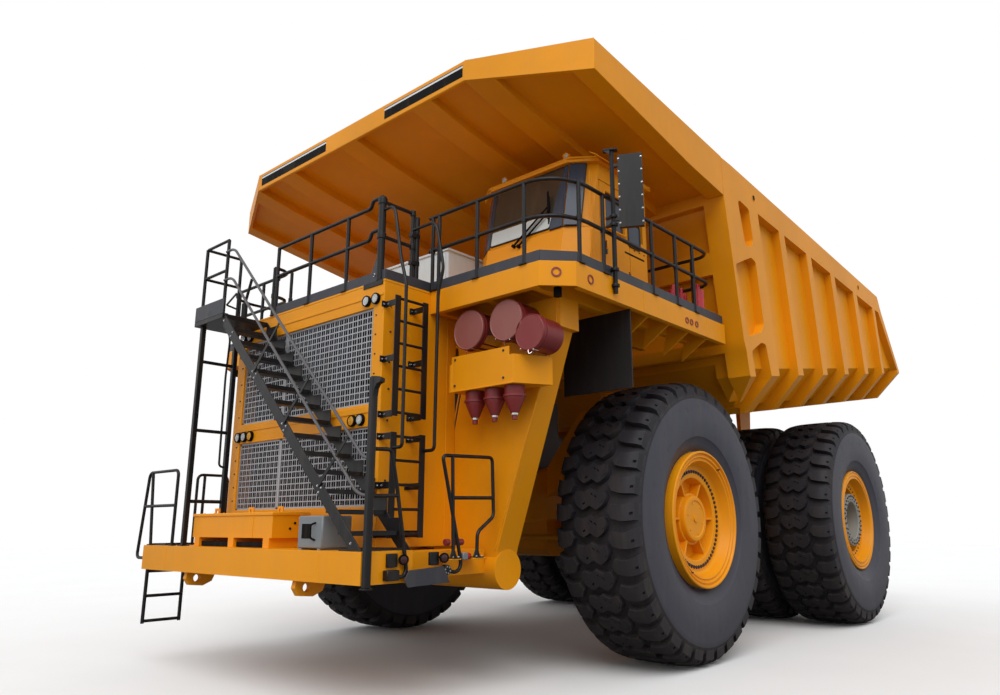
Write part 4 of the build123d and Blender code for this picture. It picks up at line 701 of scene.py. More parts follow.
rearRimShape = {
    "well": ((-0.05, 0.716), (-0.11, 0.700), (-0.125, 0.640), (-0.14, 0.585), (-0.30, 0.570), (-0.30, 0.480)),
    "hub": ((-0.158, 0.470), (-0.060, 0.462), (-0.052, 0.450), (-0.052, 0.330), (-0.064, 0.318),
            (-0.300, 0.300), (-0.305, 0.290), (-0.305, 0.0), (-0.32, 0.0), (-0.32, 0.470)),
    "rings": (
        # ring radius, bolt count, size, offset
        (0.425, 30, 0.017, -0.052), (0.365, 20, 0.013, -0.052), (0.240, 12, 0.012, -0.305),
        (0.630, 40, 0.022, -0.142),
    ),
    # the outer rim's inner end, from its bead, and the inner rim, from its tyre's middle
    "back": ((-0.30, 0.0), (-0.985, 0.0), (-0.985, 0.64), (-0.955, 0.73), (-0.945, 0.74), (-0.945, 0.865),
             (-0.903, 0.868), (-0.903, 0.80)),
    "drum": ((-0.12, 0.0), (-0.12, 0.60), (0.43, 0.60), (0.43, 0.0)),
    "innerOuterSide": ((0.453, 0.80), (0.453, 0.868), (0.494, 0.865), (0.494, 0.645), (-0.12, 0.64),
                       (-0.12, 0.0)),
    "innerFace": 1.0905,              # the inner rim's disc from the truck's middle
    "innerInnerSide": ((-0.39, 0.50), (-0.42, 0.72), (-0.490, 0.72), (-0.495, 0.865), (-0.453, 0.868),
                       (-0.453, 0.80)),
    "innerBolts": (0.560, 36, 0.020),
}


def makeRearRim(sideName, sign):
    bm = bmesh.new()
    edge, x, out = rimShape["edge"], sign * outerTwinX, (sign, 0, 0)
    profile = rimShape["lip"] + rearRimShape["well"] + rearRimShape["back"]
    addLathe(bm, [(edge + along, radius) for along, radius in profile], (x, rearAxleY, axleHeight), out, 96)
    hub = [(edge + along, radius) for along, radius in rearRimShape["hub"]]
    addLathe(bm, hub, (x, rearAxleY, axleHeight), out, 72, index=1)
    for ring, count, size, along in rearRimShape["rings"]:
        addBoltRing(bm, (x + sign * (edge + along), rearAxleY, axleHeight), out, ring, count, size, 2)
    middle = (sign * innerTwinX, rearAxleY, axleHeight)
    addLathe(bm, rearRimShape["drum"], middle, out, 64)
    face = rearRimShape["innerFace"] - innerTwinX
    ring = rearRimShape["innerOuterSide"] + ((face, 0.0), (face, 0.47)) + rearRimShape["innerInnerSide"]
    addLathe(bm, ring, middle, out, 80)
    ring, count, size = rearRimShape["innerBolts"]
    low = (sign * (innerTwinX - edge + 0.055), rearAxleY, axleHeight)
    addBoltRing(bm, low, (-sign, 0, 0), ring, count, size, 2)
    finishPiece(f"wheel_discs_rear_{sideName}", bm, (paint, hubGrey, darkSteel), f"wheels_rear_{sideName}",
                (f"rims_rear_{sideName}",), sharp=40)


for sideName, sign in (("left", 1), ("right", -1)):
    makeFrontRim(sideName, sign)
    makeRearRim(sideName, sign)
print("rims made")


# Floor and light
studio = {
    "floorSize": 120,
    "skyTop": (0.97, 0.985, 1.0, 1),
    "skyLow": (1.0, 0.985, 0.96, 1),
    "skyStrength": 0.74,
    "sunStrength": 1.55,
    "sunSpread": 45,            # degrees
    "sunFrom": (0.50, -0.62, 0.90),
    "fillFrom": (-0.5, -0.8, 0.35),
    "fillStrength": 0.44,
    "floorBounce": 0.22,        # how bright the floor is to everything but the camera
}


def setStudio():
    world = bpy.data.worlds.new("studio")
    bpy.context.scene.world = world
    world.use_nodes = True
    tree = world.node_tree
    tree.nodes.clear()
    out = tree.nodes.new("ShaderNodeOutputWorld")
    ways = addNode(tree, "TexCoord").outputs["Generated"]
    height = addNode(tree, "SeparateXYZ", Vector=ways).outputs["Z"]
    rise = addNode(tree, "MapRange", _0=height, _1=-0.1, _2=0.8).outputs[0]
    sky = mixColours(tree, rise, studio["skyLow"], studio["skyTop"])
    light = addNode(tree, "Background", Color=sky, Strength=studio["skyStrength"]).outputs[0]
    plain = addNode(tree, "Background", Color=(1, 1, 1, 1), Strength=1.0).outputs[0]
    rays = addNode(tree, "LightPath")
    seen = reckon(tree, "MAXIMUM", rays.outputs["Is Camera Ray"], rays.outputs["Is Transmission Ray"])
    tree.links.new(addNode(tree, "MixShader", _0=seen, _1=light, _2=plain).outputs[0], out.inputs[0])
    lights = (("sun", studio["sunFrom"], studio["sunStrength"], studio["sunSpread"]),
              ("fill", studio["fillFrom"], studio["fillStrength"], 90))
    for name, aim, strength, spread in lights:
        lamp = bpy.data.lights.new(name, "SUN")
        lamp.energy = strength
        lamp.angle = radians(spread)
        holder = bpy.data.objects.new(name, lamp)
        bpy.context.scene.collection.objects.link(holder)
        holder.rotation_mode = "QUATERNION"
        holder.rotation_quaternion = Vector(aim).to_track_quat("Z", "Y")
    bm = bmesh.new()
    bmesh.ops.create_grid(bm, x_segments=2, y_segments=2, size=studio["floorSize"] / 2)
    mesh = bpy.data.meshes.new("studioFloor")
    bm.to_mesh(mesh)
    bm.free()
    floor = bpy.data.objects.new("studioFloor", mesh)
    bpy.context.scene.collection.objects.link(floor)
    look = bpy.data.materials.new("studioFloor")
    look.use_nodes = True
    tree = look.node_tree
    shader = tree.nodes["Principled BSDF"]
    grain = noiseMask(tree, addNode(tree, "TexCoord").outputs["Object"], 0.4, 0.2, 0.8)
    pale = mixColours(tree, grain, (0.86, 0.86, 0.86, 1), (0.9, 0.9, 0.9, 1))
    seen = addNode(tree, "LightPath").outputs["Is Camera Ray"]
    bounce = (*[studio["floorBounce"]] * 3, 1)
    shown = mixColours(tree, seen, bounce, pale)
    tree.links.new(shown, shader.inputs["Base Color"])
    shader.inputs["Roughness"].default_value = 0.9
    mesh.materials.append(look)


setStudio()


# Copies of CAD plates, with what is added to each
def nodePiece(node, materials, body, rounding, extra=None, reshape=None):
    bm = nodeCopy(node, rounding, reshape)
    if extra:
        extra(bm)
    finishPiece(f"{node}_plates", bm, materials, body, (node,))


def bead(bm, points, size=0.006, index=0):
    # weld seam or raised joint
    addPipe(bm, points, size, bend=0.01, sides=6, index=index)


def boltRow(bm, start, end, count, axis, size=0.014, index=0):
    start, end = Vector(start), Vector(end)
    for n in range(count):
        addBolt(bm, start.lerp(end, n / max(1, count - 1)), axis, size, index)


def addRing(bm, place, axis, inner, outer, depth, index=0, steps=32):
    # flat ring standing on a surface, its depth along the axis
    addLathe(bm, [(0.0, inner), (0.0, outer), (depth, outer), (depth, inner)], place, axis, steps, index)


# Bumper and the boxes on it
bumperShape = {
    "front": -4.655,
    "bottom": 1.210,
    "top": 1.494,
    "seams": (-1.62, 1.62),
    "stepPads": (-2.02, 2.02),
    "padRails": (-4.58, -4.12),
    "padBars": 9,
    "hooks": (-1.15, 1.15),
    "hookSeam": (0.037, 1.195, -4.60, -4.26),  # from the hook's middle, height, front and rear
}


def bumperTrim(bm):
    front, top = bumperShape["front"], bumperShape["top"]
    for x in bumperShape["seams"]:
        bead(bm, [(x, front, bumperShape["bottom"]), (x, front, top - 0.012)], 0.004)
    low, high = bumperShape["padRails"]
    for middle in bumperShape["stepPads"]:
        for y in (low, high):
            addBox(bm, around(middle, 0.20), (y, y + 0.012), (top, top + 0.022), 0.003, 1)
        for n in range(bumperShape["padBars"]):
            x = middle - 0.19 + 0.0475 * n
            addBox(bm, (x, x + 0.008), (low + 0.01, high), (top + 0.004, top + 0.024), 0.0, 1)
    reach, z, front, rear = bumperShape["hookSeam"]
    for middle in bumperShape["hooks"]:
        for x in around(middle, reach):
            bead(bm, [(x, front, z), (x, rear, z)], 0.007)


batteryShape = {
    "lid": ((-1.292, 0.512), (-4.512, -4.028), (1.842, 1.878)),
    "seam": ((0.10, 0.112), (-4.506, -4.495), (1.60, 1.84)),
    "bolts": ((-1.22, -4.40, 1.878), (0.44, -4.40, 1.878)),
    "plugs": ((-4.28, 1.70), (-4.22, 1.76)),
    "slots": ((-1.10, -0.44), (-0.28, 0.30)),
}


def batteryTrim(bm):
    # lid flange, the seam between two boxes, end plugs, and slots underneath drawn as black plates of painted
    # shade
    addBox(bm, *batteryShape["lid"], 0.006)
    addBox(bm, *batteryShape["seam"], 0.002)
    boltRow(bm, *batteryShape["bolts"], 8, (0, 0, 1), 0.010)
    for y, z in batteryShape["plugs"]:
        addRod(bm, (0.495, y, z), (0.508, y, z), 0.014, 12, 1)
    # black plates on the box's face: painted shade in the slots
    for x in batteryShape["slots"]:
        addBox(bm, x, (-4.47, -4.46), (1.500, 1.556), 0.0, 1)


controlBoxShape = {
    "x": (1.120, 1.540),
    "y": (-4.580, -4.220),
    "z": (1.510, 1.830),
    "foot": 0.040,
    "stand": 1.4945,
    "socketX": (1.195, 1.350),
    "socketZ": (1.605, 1.750),
    "handle": ((1.43, -4.58, 1.76), (1.40, -4.62, 1.74), (1.40, -4.62, 1.61), (1.43, -4.58, 1.59)),
}


def makeControlBox():
    # box on two feet, with a socket plate and a bow handle
    bm = bmesh.new()
    x, y, z = (controlBoxShape[key] for key in ("x", "y", "z"))
    addBox(bm, x, y, z, 0.012)
    for foot in (x[0] + 0.03, x[1] - 0.07):
        addBox(bm, (foot, foot + controlBoxShape["foot"]), y, (controlBoxShape["stand"], z[0]), 0.0)
    addBox(bm, controlBoxShape["socketX"], (y[0] - 0.006, y[0] + 0.004), controlBoxShape["socketZ"], 0.002, 1)
    addPipe(bm, controlBoxShape["handle"], 0.010, 0.02, 8, 1)
    finishPiece("control_case", bm, (boxGrey, bandBlack), "chassis", ("control_box",))


nodePiece("bumper", (paint, steelBlack), "chassis", 0.010, bumperTrim)
nodePiece("battery_box", (paint, bandBlack), "chassis", 0.005, batteryTrim)
makeControlBox()


# Radiator: housing, mesh, lamps and core
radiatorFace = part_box("radiator_housing")[0].y - toFrame.y
meshShape = {
    "column": 0.0455,
    "row": 0.072,
    "bars": (0.016, 0.005),        # every second bar is wide
    "link": 0.014,
    "front": radiatorFace + 0.030,
    "depth": 0.006,
    "frame": 0.022,
    "midBar": 2.92,
}


def meshPanel(bm, x, z):
    # upright bars, wide and narrow in turn, with level links between them
    columns = round((x[1] - x[0]) / meshShape["column"])
    step = (x[1] - x[0]) / columns
    link = meshShape["link"]
    y = (meshShape["front"], meshShape["front"] + meshShape["depth"])
    for n in range(columns + 1):
        here, half = x[0] + n * step, meshShape["bars"][n % 2] / 2
        addBox(bm, around(here, half), y, z, 0.0)
    level = z[0]
    while level < z[1] - link:
        addBox(bm, x, (y[0] + 0.001, y[1]), (level, level + link), 0.0)
        level += meshShape["row"]
    edge, near = meshShape["frame"], (y[0] - 0.004, y[1])
    for low in (x[0], x[1] - edge):
        addBox(bm, (low, low + edge), near, z, 0.0)
    for low in (z[0], z[1] - edge):
        addBox(bm, x, near, (low, low + edge), 0.0)


def makeMesh():
    bm = bmesh.new()
    low, high = (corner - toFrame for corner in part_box("radiator_grille"))
    for z in ((low.z, meshShape["midBar"] - 0.13), (meshShape["midBar"] + 0.125, high.z)):
        for x in ((low.x, -0.40), (-0.40, high.x)):
            meshPanel(bm, x, z)
    finishPiece("radiator_mesh", bm, (meshSteel,), "chassis", ("radiator_grille",),
                weighted=False)


lampShape = {
    "places": (
        # x, z, amber
        (1.265, 4.240, False), (1.430, 4.240, False), (-1.265, 4.240, False), (-1.430, 4.240, False),
        (1.090, 2.875, True), (1.240, 2.875, False), (-1.380, 2.875, False), (-1.230, 2.875, False),
        (-1.080, 2.875, True),
    ),
    "radius": 0.062,
    "depth": 0.034,
}


def lampUnit(bm, place, axis, radius, depth, lens):
    # black bezel, reflector bowl and a domed lens
    axis = Vector(axis).normalized()
    bezel = [(0.0, 0.86), (0.0, 1.06), (depth, 1.06), (depth + 0.006, 0.99), (depth + 0.006, 0.88),
             (depth - 0.004, 0.84)]
    addLathe(bm, [(along, radius * share) for along, share in bezel], place, axis, 28, 0)
    bowl = [(0.003, 0.0), (0.004, 0.3), (depth * 0.55, 0.84), (depth * 0.5, 0.86), (0.001, 0.0)]
    addLathe(bm, [(along, radius * share) for along, share in bowl], place, axis, 28, 1)
    dome = [(depth * 0.8, 0.0), (depth * 0.8, 0.86), (depth, 0.86), (depth + 0.006, 0.6),
            (depth + 0.009, 0.0)]
    addLathe(bm, [(along, radius * share) for along, share in dome], place, axis, 28, lens)


def makeLamps():
    bm = bmesh.new()
    for x, z, isAmber in lampShape["places"]:
        lampUnit(bm, (x, radiatorFace, z), (0, -1, 0), lampShape["radius"], lampShape["depth"],
                 3 if isAmber else 2)
    finishPiece("lamp_units", bm, (bandBlack, reflector, clearLens, amber), "chassis",
                ("lamps",), weighted=False)


housingShape = {
    "ledges": (
        # x, how far it stands out, z
        ((-1.545, 1.545), 0.008, (4.27, 4.30)), ((-1.40, 1.40), 0.010, (2.945, 3.018)),
    ),
    "bolts": (-1.43, 1.43),
    "boltRows": ((2.05, 2.75), (3.15, 4.05)),
    "side": 1.5635,
    "sideBolts": (1.9, 2.55, 3.2, 3.85),
    "sideSeam": (-2.95, 1.52, 4.40),
}


def radiatorTrim(bm):
    front, shape = radiatorFace, housingShape
    for x, depth, z in shape["ledges"]:
        addBox(bm, x, (front - depth, front), z, 0.003)
    for x in shape["bolts"]:
        for low, high in shape["boltRows"]:
            boltRow(bm, (x, front, low), (x, front, high), 5, (0, -1, 0), 0.010, 1)
    for side in (-1, 1):
        x = side * shape["side"]
        for z in shape["sideBolts"]:
            boltRow(bm, (x, front + 0.10, z), (x, front + 0.10, z + 0.3), 2, (side, 0, 0), 0.012, 1)
        y, low, high = shape["sideSeam"]
        bead(bm, [(x, y, low), (x, y, high)], 0.006)


coreShape = {
    "fins": 34,
    "finWidth": 0.024,
    "inset": 0.03,
}


def makeCore():
    # dark fins behind the mesh
    low, high = (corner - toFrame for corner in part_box("radiator_core"))
    bm = bmesh.new()
    addBox(bm, (low.x, high.x), (low.y + 0.02, high.y), (low.z, high.z), 0.004)
    fins, half, inset = coreShape["fins"], coreShape["finWidth"] / 2, coreShape["inset"]
    for n in range(fins):
        x = low.x + inset + (high.x - low.x - 2 * inset) * n / (fins - 1)
        addBox(bm, around(x, half), (low.y, low.y + 0.022), (low.z + inset, high.z - inset), 0.0)
    finishPiece("core_fins", bm, (bandBlack,), "chassis", ("radiator_core",), weighted=False)


nodePiece("radiator_housing", (paint, darkSteel), "chassis", 0.008, radiatorTrim)
makeMesh()
makeLamps()
makeCore()
print("front made")


# Handrails and toe boards round the deck, as bent pipes on the CAD routes
railShape = {
    "pipe": 0.0235,
    "bend": 0.24,
    "top": deckTop + 0.960,
    "mid": deckTop + 0.528,
    "edge": 3.497,
    "front": -3.218,
    "corner": -2.903,
    "rear": 0.25,
    "board": 0.127,
    "leftPosts": ((1.56, -3.218), (1.67, -3.218), (2.31, -3.218), (3.02, -3.218), (3.497, -2.857),
                  (3.497, -2.40), (3.497, -1.34), (3.497, -0.75), (3.497, -0.28), (3.21, 0.25)),
    "rightPosts": ((-1.535, -3.50), (-1.535, -3.218), (-2.31, -3.218), (-3.02, -3.218), (-3.497, -2.857),
                   (-3.497, -2.0), (-3.497, -1.0), (-3.497, -0.28), (-3.21, 0.25)),
}


def railLine(bm, points, posts):
    # two level rails and their posts, each post on a bolted foot
    for level in (railShape["top"], railShape["mid"]):
        addPipe(bm, [(x, y, level) for x, y in points], railShape["pipe"], railShape["bend"], 12)
    for x, y in posts:
        addRod(bm, (x, y, deckTop), (x, y, railShape["top"]), railShape["pipe"], 12)
        addBox(bm, around(x, 0.05), around(y, 0.05), (deckTop, deckTop + 0.012), 0.002)
        addRod(bm, (x, y, railShape["mid"] - 0.03), (x, y, railShape["mid"] + 0.03), 0.031, 12)


def toeBoards(bm, points):
    # upright plates along the deck's edge
    up = Vector((0, 0, railShape["board"]))
    for (x1, y1), (x2, y2) in zip(points, points[1:]):
        along = Vector((x2 - x1, y2 - y1, 0))
        side = Vector((along.y, -along.x, 0)).normalized() * 0.007
        corner = Vector((x1, y1, deckTop)) - side
        addPlate(bm, [corner, corner + along, corner + along + up, corner + up], side * 2, 0.002, 1)


gateShape = {
    "x": 1.430,
    "line": -3.905,           # over the radiator
    "rear": -3.440,
    "top": 5.408,
    "step": 0.090,
    "drop": 0.400,
    "posts": (-0.764, 0.007, 0.783),
}


def makeHandrailLeft():
    bm = bmesh.new()
    edge, front, corner, rear = (railShape[key] for key in ("edge", "front", "corner", "rear"))
    railLine(bm, [(1.50, front), (3.23, front), (edge, corner), (edge, rear), (2.48, rear)],
             railShape["leftPosts"])
    x, line, top, pipe = gateShape["x"], gateShape["line"], gateShape["top"], railShape["pipe"]
    toeBoards(bm, [(gateShape["posts"][0], line), (1.53, line), (1.53, front), (3.23, front), (edge, corner),
                   (edge, 0.508)])
    for z in (top, top - gateShape["drop"]):
        raised = z + gateShape["step"]
        route = ((gateShape["posts"][0], z), (x - 0.22, z), (x - 0.18, raised), (x, raised))
        addPipe(bm, [(across, line, height) for across, height in route], pipe, 0.03, 12)
    for post in gateShape["posts"]:
        addRod(bm, (post, line, deckTop), (post, line, top), pipe, 12)
        addBox(bm, around(post, 0.05), around(line, 0.05), (deckTop, deckTop + 0.012), 0.002)
    # the gate's thick post with its gusset, bolt and clamps
    addRod(bm, (x, line, deckTop), (x, line, top + gateShape["step"]), 0.044, 20, 0, 0.008)
    gusset = ((x - 0.22, deckTop), (x - 0.04, deckTop), (x - 0.04, deckTop + 0.34))
    addPlate(bm, [(across, line - 0.01, z) for across, z in gusset], (0, 0.012, 0), 0.002, 1)
    addBolt(bm, (x - 0.09, line - 0.012, deckTop + 0.09), (0, -1, 0), 0.018, 2)
    for z in (top + 0.03, top - gateShape["drop"]):
        addPipe(bm, [(x, line, z), (x, gateShape["rear"], z)], pipe, 0.03, 12)
        for y in (line, gateShape["rear"]):
            addRod(bm, (x, y, z - 0.035), (x, y, z + 0.035), 0.055 if y == line else 0.036, 16, 0, 0.005)
    rear = gateShape["rear"]
    addRod(bm, (x, rear, deckTop + 0.09), (x, rear, top + 0.03), pipe, 12)
    addRod(bm, (x, rear + 0.07, deckTop), (x, rear + 0.07, top), 0.034, 16, 0, 0.006)
    for z in (top - 0.25, top - 0.60):
        addBox(bm, around(x, 0.035), (rear - 0.03, rear + 0.10), around(z, 0.03), 0.006)
    # bracket that carries the gate over the lamps
    addBox(bm, (1.18, 1.53), (line - 0.040, line + 0.02), (deckTop - 0.062, deckTop), 0.004)
    finishPiece("handrail_left_pipes", bm, (steelBlack, toeGrey, brightSteel), "chassis",
                ("handrail_left",))


def makeHandrailRight():
    bm = bmesh.new()
    edge, front, corner, rear = (railShape[key] for key in ("edge", "front", "corner", "rear"))
    line = [(-1.535, -3.50), (-1.535, front), (-3.23, front), (-edge, corner), (-edge, rear)]
    railLine(bm, [*line, (-2.48, rear)], railShape["rightPosts"])
    toeBoards(bm, line)
    finishPiece("handrail_right_pipes", bm, (steelBlack, toeGrey), "chassis",
                ("handrail_right",))


makeHandrailLeft()
makeHandrailRight()


# Stair: narrow stringers, open treads and a bolted handrail on the front side
stairShape = {
    "low": (2.200, 1.494),
    "high": (-0.780, 4.350),
    "front": -4.600,
    "rear": -3.990,
    "wall": 0.014,
    "depth": 0.128,
    "treads": 13,
    "bolts": (-0.50, 0.13, 0.83, 1.54),
    "boltRows": (0.035, 0.095),            # below the stringer's edge
    "endBolts": (-0.72, 2.08),
    "tread": (-0.185, 0.030, 0.030),       # left and right of its point on the slope, thickness
    "nosing": (0.024, 0.032, -0.045, 0.002),  # left, right, low and high from the same point
    "endPlate": (-0.15, 0.055, -0.06, 0.13),  # likewise
    "stays": (0.085, 0.786, 1.508),
    "railPipe": 0.0165,
    "topRail": ((-0.84, 5.180), (-0.645, 5.180), (2.189, 2.350), (2.272, 2.350)),
    "midRail": ((-0.84, 4.795), (-0.645, 4.795), (2.109, 2.022), (2.272, 2.000)),
}


def stairPoint(x, drop=0.0, y=0.0):
    # place on a stringer's upper edge, or square below it
    (lowX, lowZ), (highX, highZ) = stairShape["low"], stairShape["high"]
    slope = atan2(highZ - lowZ, lowX - highX)
    z = lowZ + (highZ - lowZ) * (lowX - x) / (lowX - highX)
    return Vector((x - drop * sin(slope), y, z - drop * cos(slope)))


def makeStair():
    bm = bmesh.new()
    shape = stairShape
    (lowX, lowZ), (highX, highZ) = shape["low"], shape["high"]
    foot = shape["depth"] / sin(atan2(highZ - lowZ, lowX - highX))
    drop = shape["depth"] / cos(atan2(highZ - lowZ, lowX - highX))
    for y, way in ((shape["front"], -1), (shape["rear"] - shape["wall"], 1)):
        outline = [(highX, highZ), (highX, highZ - drop), (lowX - foot, lowZ), (lowX, lowZ)]
        addPlate(bm, [Vector((x, y, z)) for x, z in outline], (0, shape["wall"], 0), 0.003)
        outside = y if way < 0 else y + shape["wall"]
        for x in shape["bolts"]:
            for below in shape["boltRows"]:
                addBolt(bm, stairPoint(x, below, outside), (0, way, 0), 0.010, 1)
        for x in shape["endBolts"]:
            addBolt(bm, stairPoint(x, 0.06, outside), (0, way, 0), 0.012, 1)
    inner = (shape["front"] + shape["wall"], shape["rear"] - shape["wall"])
    for n in range(1, shape["treads"] + 1):
        x = lowX + (highX - lowX) * n / (shape["treads"] + 1)
        z = stairPoint(x).z - 0.02
        left, right, thick = shape["tread"]
        addBox(bm, (x + left, x + right), inner, (z - thick, z), 0.003)
        left, right, low, high = shape["nosing"]
        addBox(bm, (x + left, x + right), inner, (z + low, z + high), 0.002)
        # end plate inside the rear stringer, standing out over it
        left, right, low, high = shape["endPlate"]
        addBox(bm, (x + left, x + right), (inner[1] - 0.012, inner[1]), (z + low, z + high), 0.002)
    finishPiece("stair_flight", bm, (steelBlack, brightSteel), "chassis", ("stair",))


def makeStairRails():
    # two worn rails on flat stays square to the stringer
    bm = bmesh.new()
    y = stairShape["front"] - 0.004
    for route in (stairShape["topRail"], stairShape["midRail"]):
        addPipe(bm, [(x, y, z) for x, z in route], stairShape["railPipe"], 0.09, 12, 1)
    (x1, z1), (x2, z2) = stairShape["topRail"][1:3]
    line = Vector((x2 - x1, 0, z2 - z1)).normalized()
    for x in stairShape["stays"]:
        foot = stairPoint(x, 0.05, y - 0.012)
        gap = Vector((x1, foot.y, z1)) - foot
        head = foot + gap - line * gap.dot(line)
        across = line * 0.024
        outline = [foot - across, foot + across, head + across * 0.6, head - across * 0.6]
        addPlate(bm, outline, (0, 0.010, 0), 0.002)
        addBolt(bm, foot, (0, -1, 0), 0.010, 2)
    finishPiece("stair_rail_pipes", bm, (steelBlack, wornRail, brightSteel), "chassis",
                ("stair_handrails",))


landingShape = {
    "left": -0.780,
    "right": -1.515,
    "front": -4.620,
    "rear": -3.990,
    "floor": 4.350,
    "board": 0.200,
    "posts": ((-0.845, -4.580), (-1.410, -4.580), (-1.410, -4.095)),
    "levels": (5.350, 4.940),
    "legs": ((-1.410, -4.545), (-1.410, -4.080)),
    "leg": 0.029,
    "rungs": (2.035, 2.930, 3.828),
    "bumperTop": 1.4945,
    "bars": (13, 0.048),                   # of the floor: count and pitch
    "handLoop": ((-4.20, 4.300), (-4.165, 4.20), (-4.185, 3.66), (-4.172, 2.482), (-4.10, 2.482)),
    "hinge": (-1.36, -4.02, 4.36, 4.72),
    "leverHead": (-1.26, -4.00, 5.06),
    "leverLoop": ((-1.40, -4.06, 4.62), (-1.48, -4.22, 4.68), (-1.42, -4.12, 4.86)),
}


def makeLanding():
    bm = bmesh.new()
    shape = landingShape
    left, right, front, rear, floor = (shape[key] for key in ("left", "right", "front", "rear", "floor"))
    top = floor + shape["board"]
    addBox(bm, (right, left), (front, rear), (floor - 0.060, floor), 0.004)
    addBox(bm, (right, left), (front, front + 0.012), (floor, top), 0.003, 1)
    addBox(bm, (right, right + 0.012), (front, rear), (floor, top), 0.003, 1)
    count, pitch = shape["bars"]
    for n in range(count):
        x = right + 0.06 + pitch * n
        addBox(bm, (x, x + 0.008), (front + 0.03, rear - 0.03), (floor, floor + 0.006), 0.0)
    for level in shape["levels"]:
        addPipe(bm, [(x, y, level) for x, y in shape["posts"]], 0.019, 0.03, 12)
    for x, y in shape["posts"]:
        addRod(bm, (x, y, floor), (x, y, shape["levels"][0]), 0.021, 12)
        addBox(bm, around(x, 0.045), (y - 0.030, y + 0.045), (floor, floor + 0.012), 0.002)
    # legs and rungs of the ladder under the landing, and its hand loop
    half = shape["leg"]
    for x, y in shape["legs"]:
        foot = shape["bumperTop"]
        addBox(bm, around(x, half), around(y, half), (foot, floor - 0.06), 0.005)
        addBox(bm, around(x, 0.06), around(y, 0.05), (foot, foot + 0.0115), 0.003)
    (x, y1), (x, y2) = shape["legs"]
    for z in shape["rungs"]:
        addRod(bm, (x, y1, z), (x, y2, z), 0.022, 12)
    addPipe(bm, [(x, y, z) for y, z in shape["handLoop"]], 0.014, 0.05, 10)
    # hinge and lever of the landing's gate
    x, y, low, high = shape["hinge"]
    addRod(bm, (x, y, low), (x, y, high), 0.040, 12, 0, 0.006)
    addRod(bm, (x, y, high), shape["leverHead"], 0.020, 10)
    addPipe(bm, shape["leverLoop"], 0.013, 0.01, 8)
    finishPiece("landing_pipes", bm, (steelBlack, toeGrey), "chassis", ("stair_landing",))


makeStair()
makeStairRails()
makeLanding()


# Ladders beside the radiator and at the bumper's right end
ladderShape = {
    "x": 1.735,
    "wall": 1.566,
    "frames": ((-3.925, -3.843), (-3.516, -3.434)),
    "flights": (
        # side frames' foot and head, first rung, rungs, brackets
        (1.600, 2.706, 1.640, 5, (1.640, 2.145, 2.665)), (2.880, 4.232, 2.920, 6, (2.905, 3.520, 4.150)),
    ),
    "pitch": 0.2555,
    "rung": 0.016,
    "hangingX": (-2.350, -2.266),          # its sides and the bumper's end
    "hangingZ": (0.510, 1.330),
    "hangingSides": (-4.540, -4.065),
    "hangingRungs": (0.540, 0.850, 1.160),
}


def makeLadders():
    bm = bmesh.new()
    shape = ladderShape
    x, wall = shape["x"], shape["wall"]
    for low, high, first, rungs, brackets in shape["flights"]:
        for front, rear in shape["frames"]:
            addBox(bm, (x, x + 0.014), (front, rear), (low, high), 0.003)
            for z in brackets:
                addBox(bm, (wall, x + 0.004), (front + 0.006, front + 0.018), around(z, 0.036), 0.002)
                addBox(bm, (wall, wall + 0.010), (front - 0.05, front + 0.018), around(z, 0.036), 0.002)
                addBolt(bm, (wall + 0.010, front - 0.025, z), (1, 0, 0), 0.011, 1)
                addBolt(bm, (wall + 0.05, front + 0.006, z), (0, -1, 0), 0.011, 1)
        front, rear = shape["frames"][0][1] - 0.01, shape["frames"][1][0] + 0.01
        for n in range(rungs):
            z = first + shape["pitch"] * n
            addRod(bm, (x + 0.008, front, z), (x + 0.008, rear, z), shape["rung"], 12)
    x, fixed = shape["hangingX"]
    low, high = shape["hangingZ"]
    front, rear = shape["hangingSides"]
    for y in (front, rear):
        addPipe(bm, [(x, y, low), (x, y, high), (fixed, y, high)], 0.022, 0.05, 12)
    for z in shape["hangingRungs"]:
        addRod(bm, (x, front, z), (x, rear, z), 0.020, 12)
    finishPiece("ladder_frames", bm, (steelBlack, brightSteel), "chassis", ("ladders",))


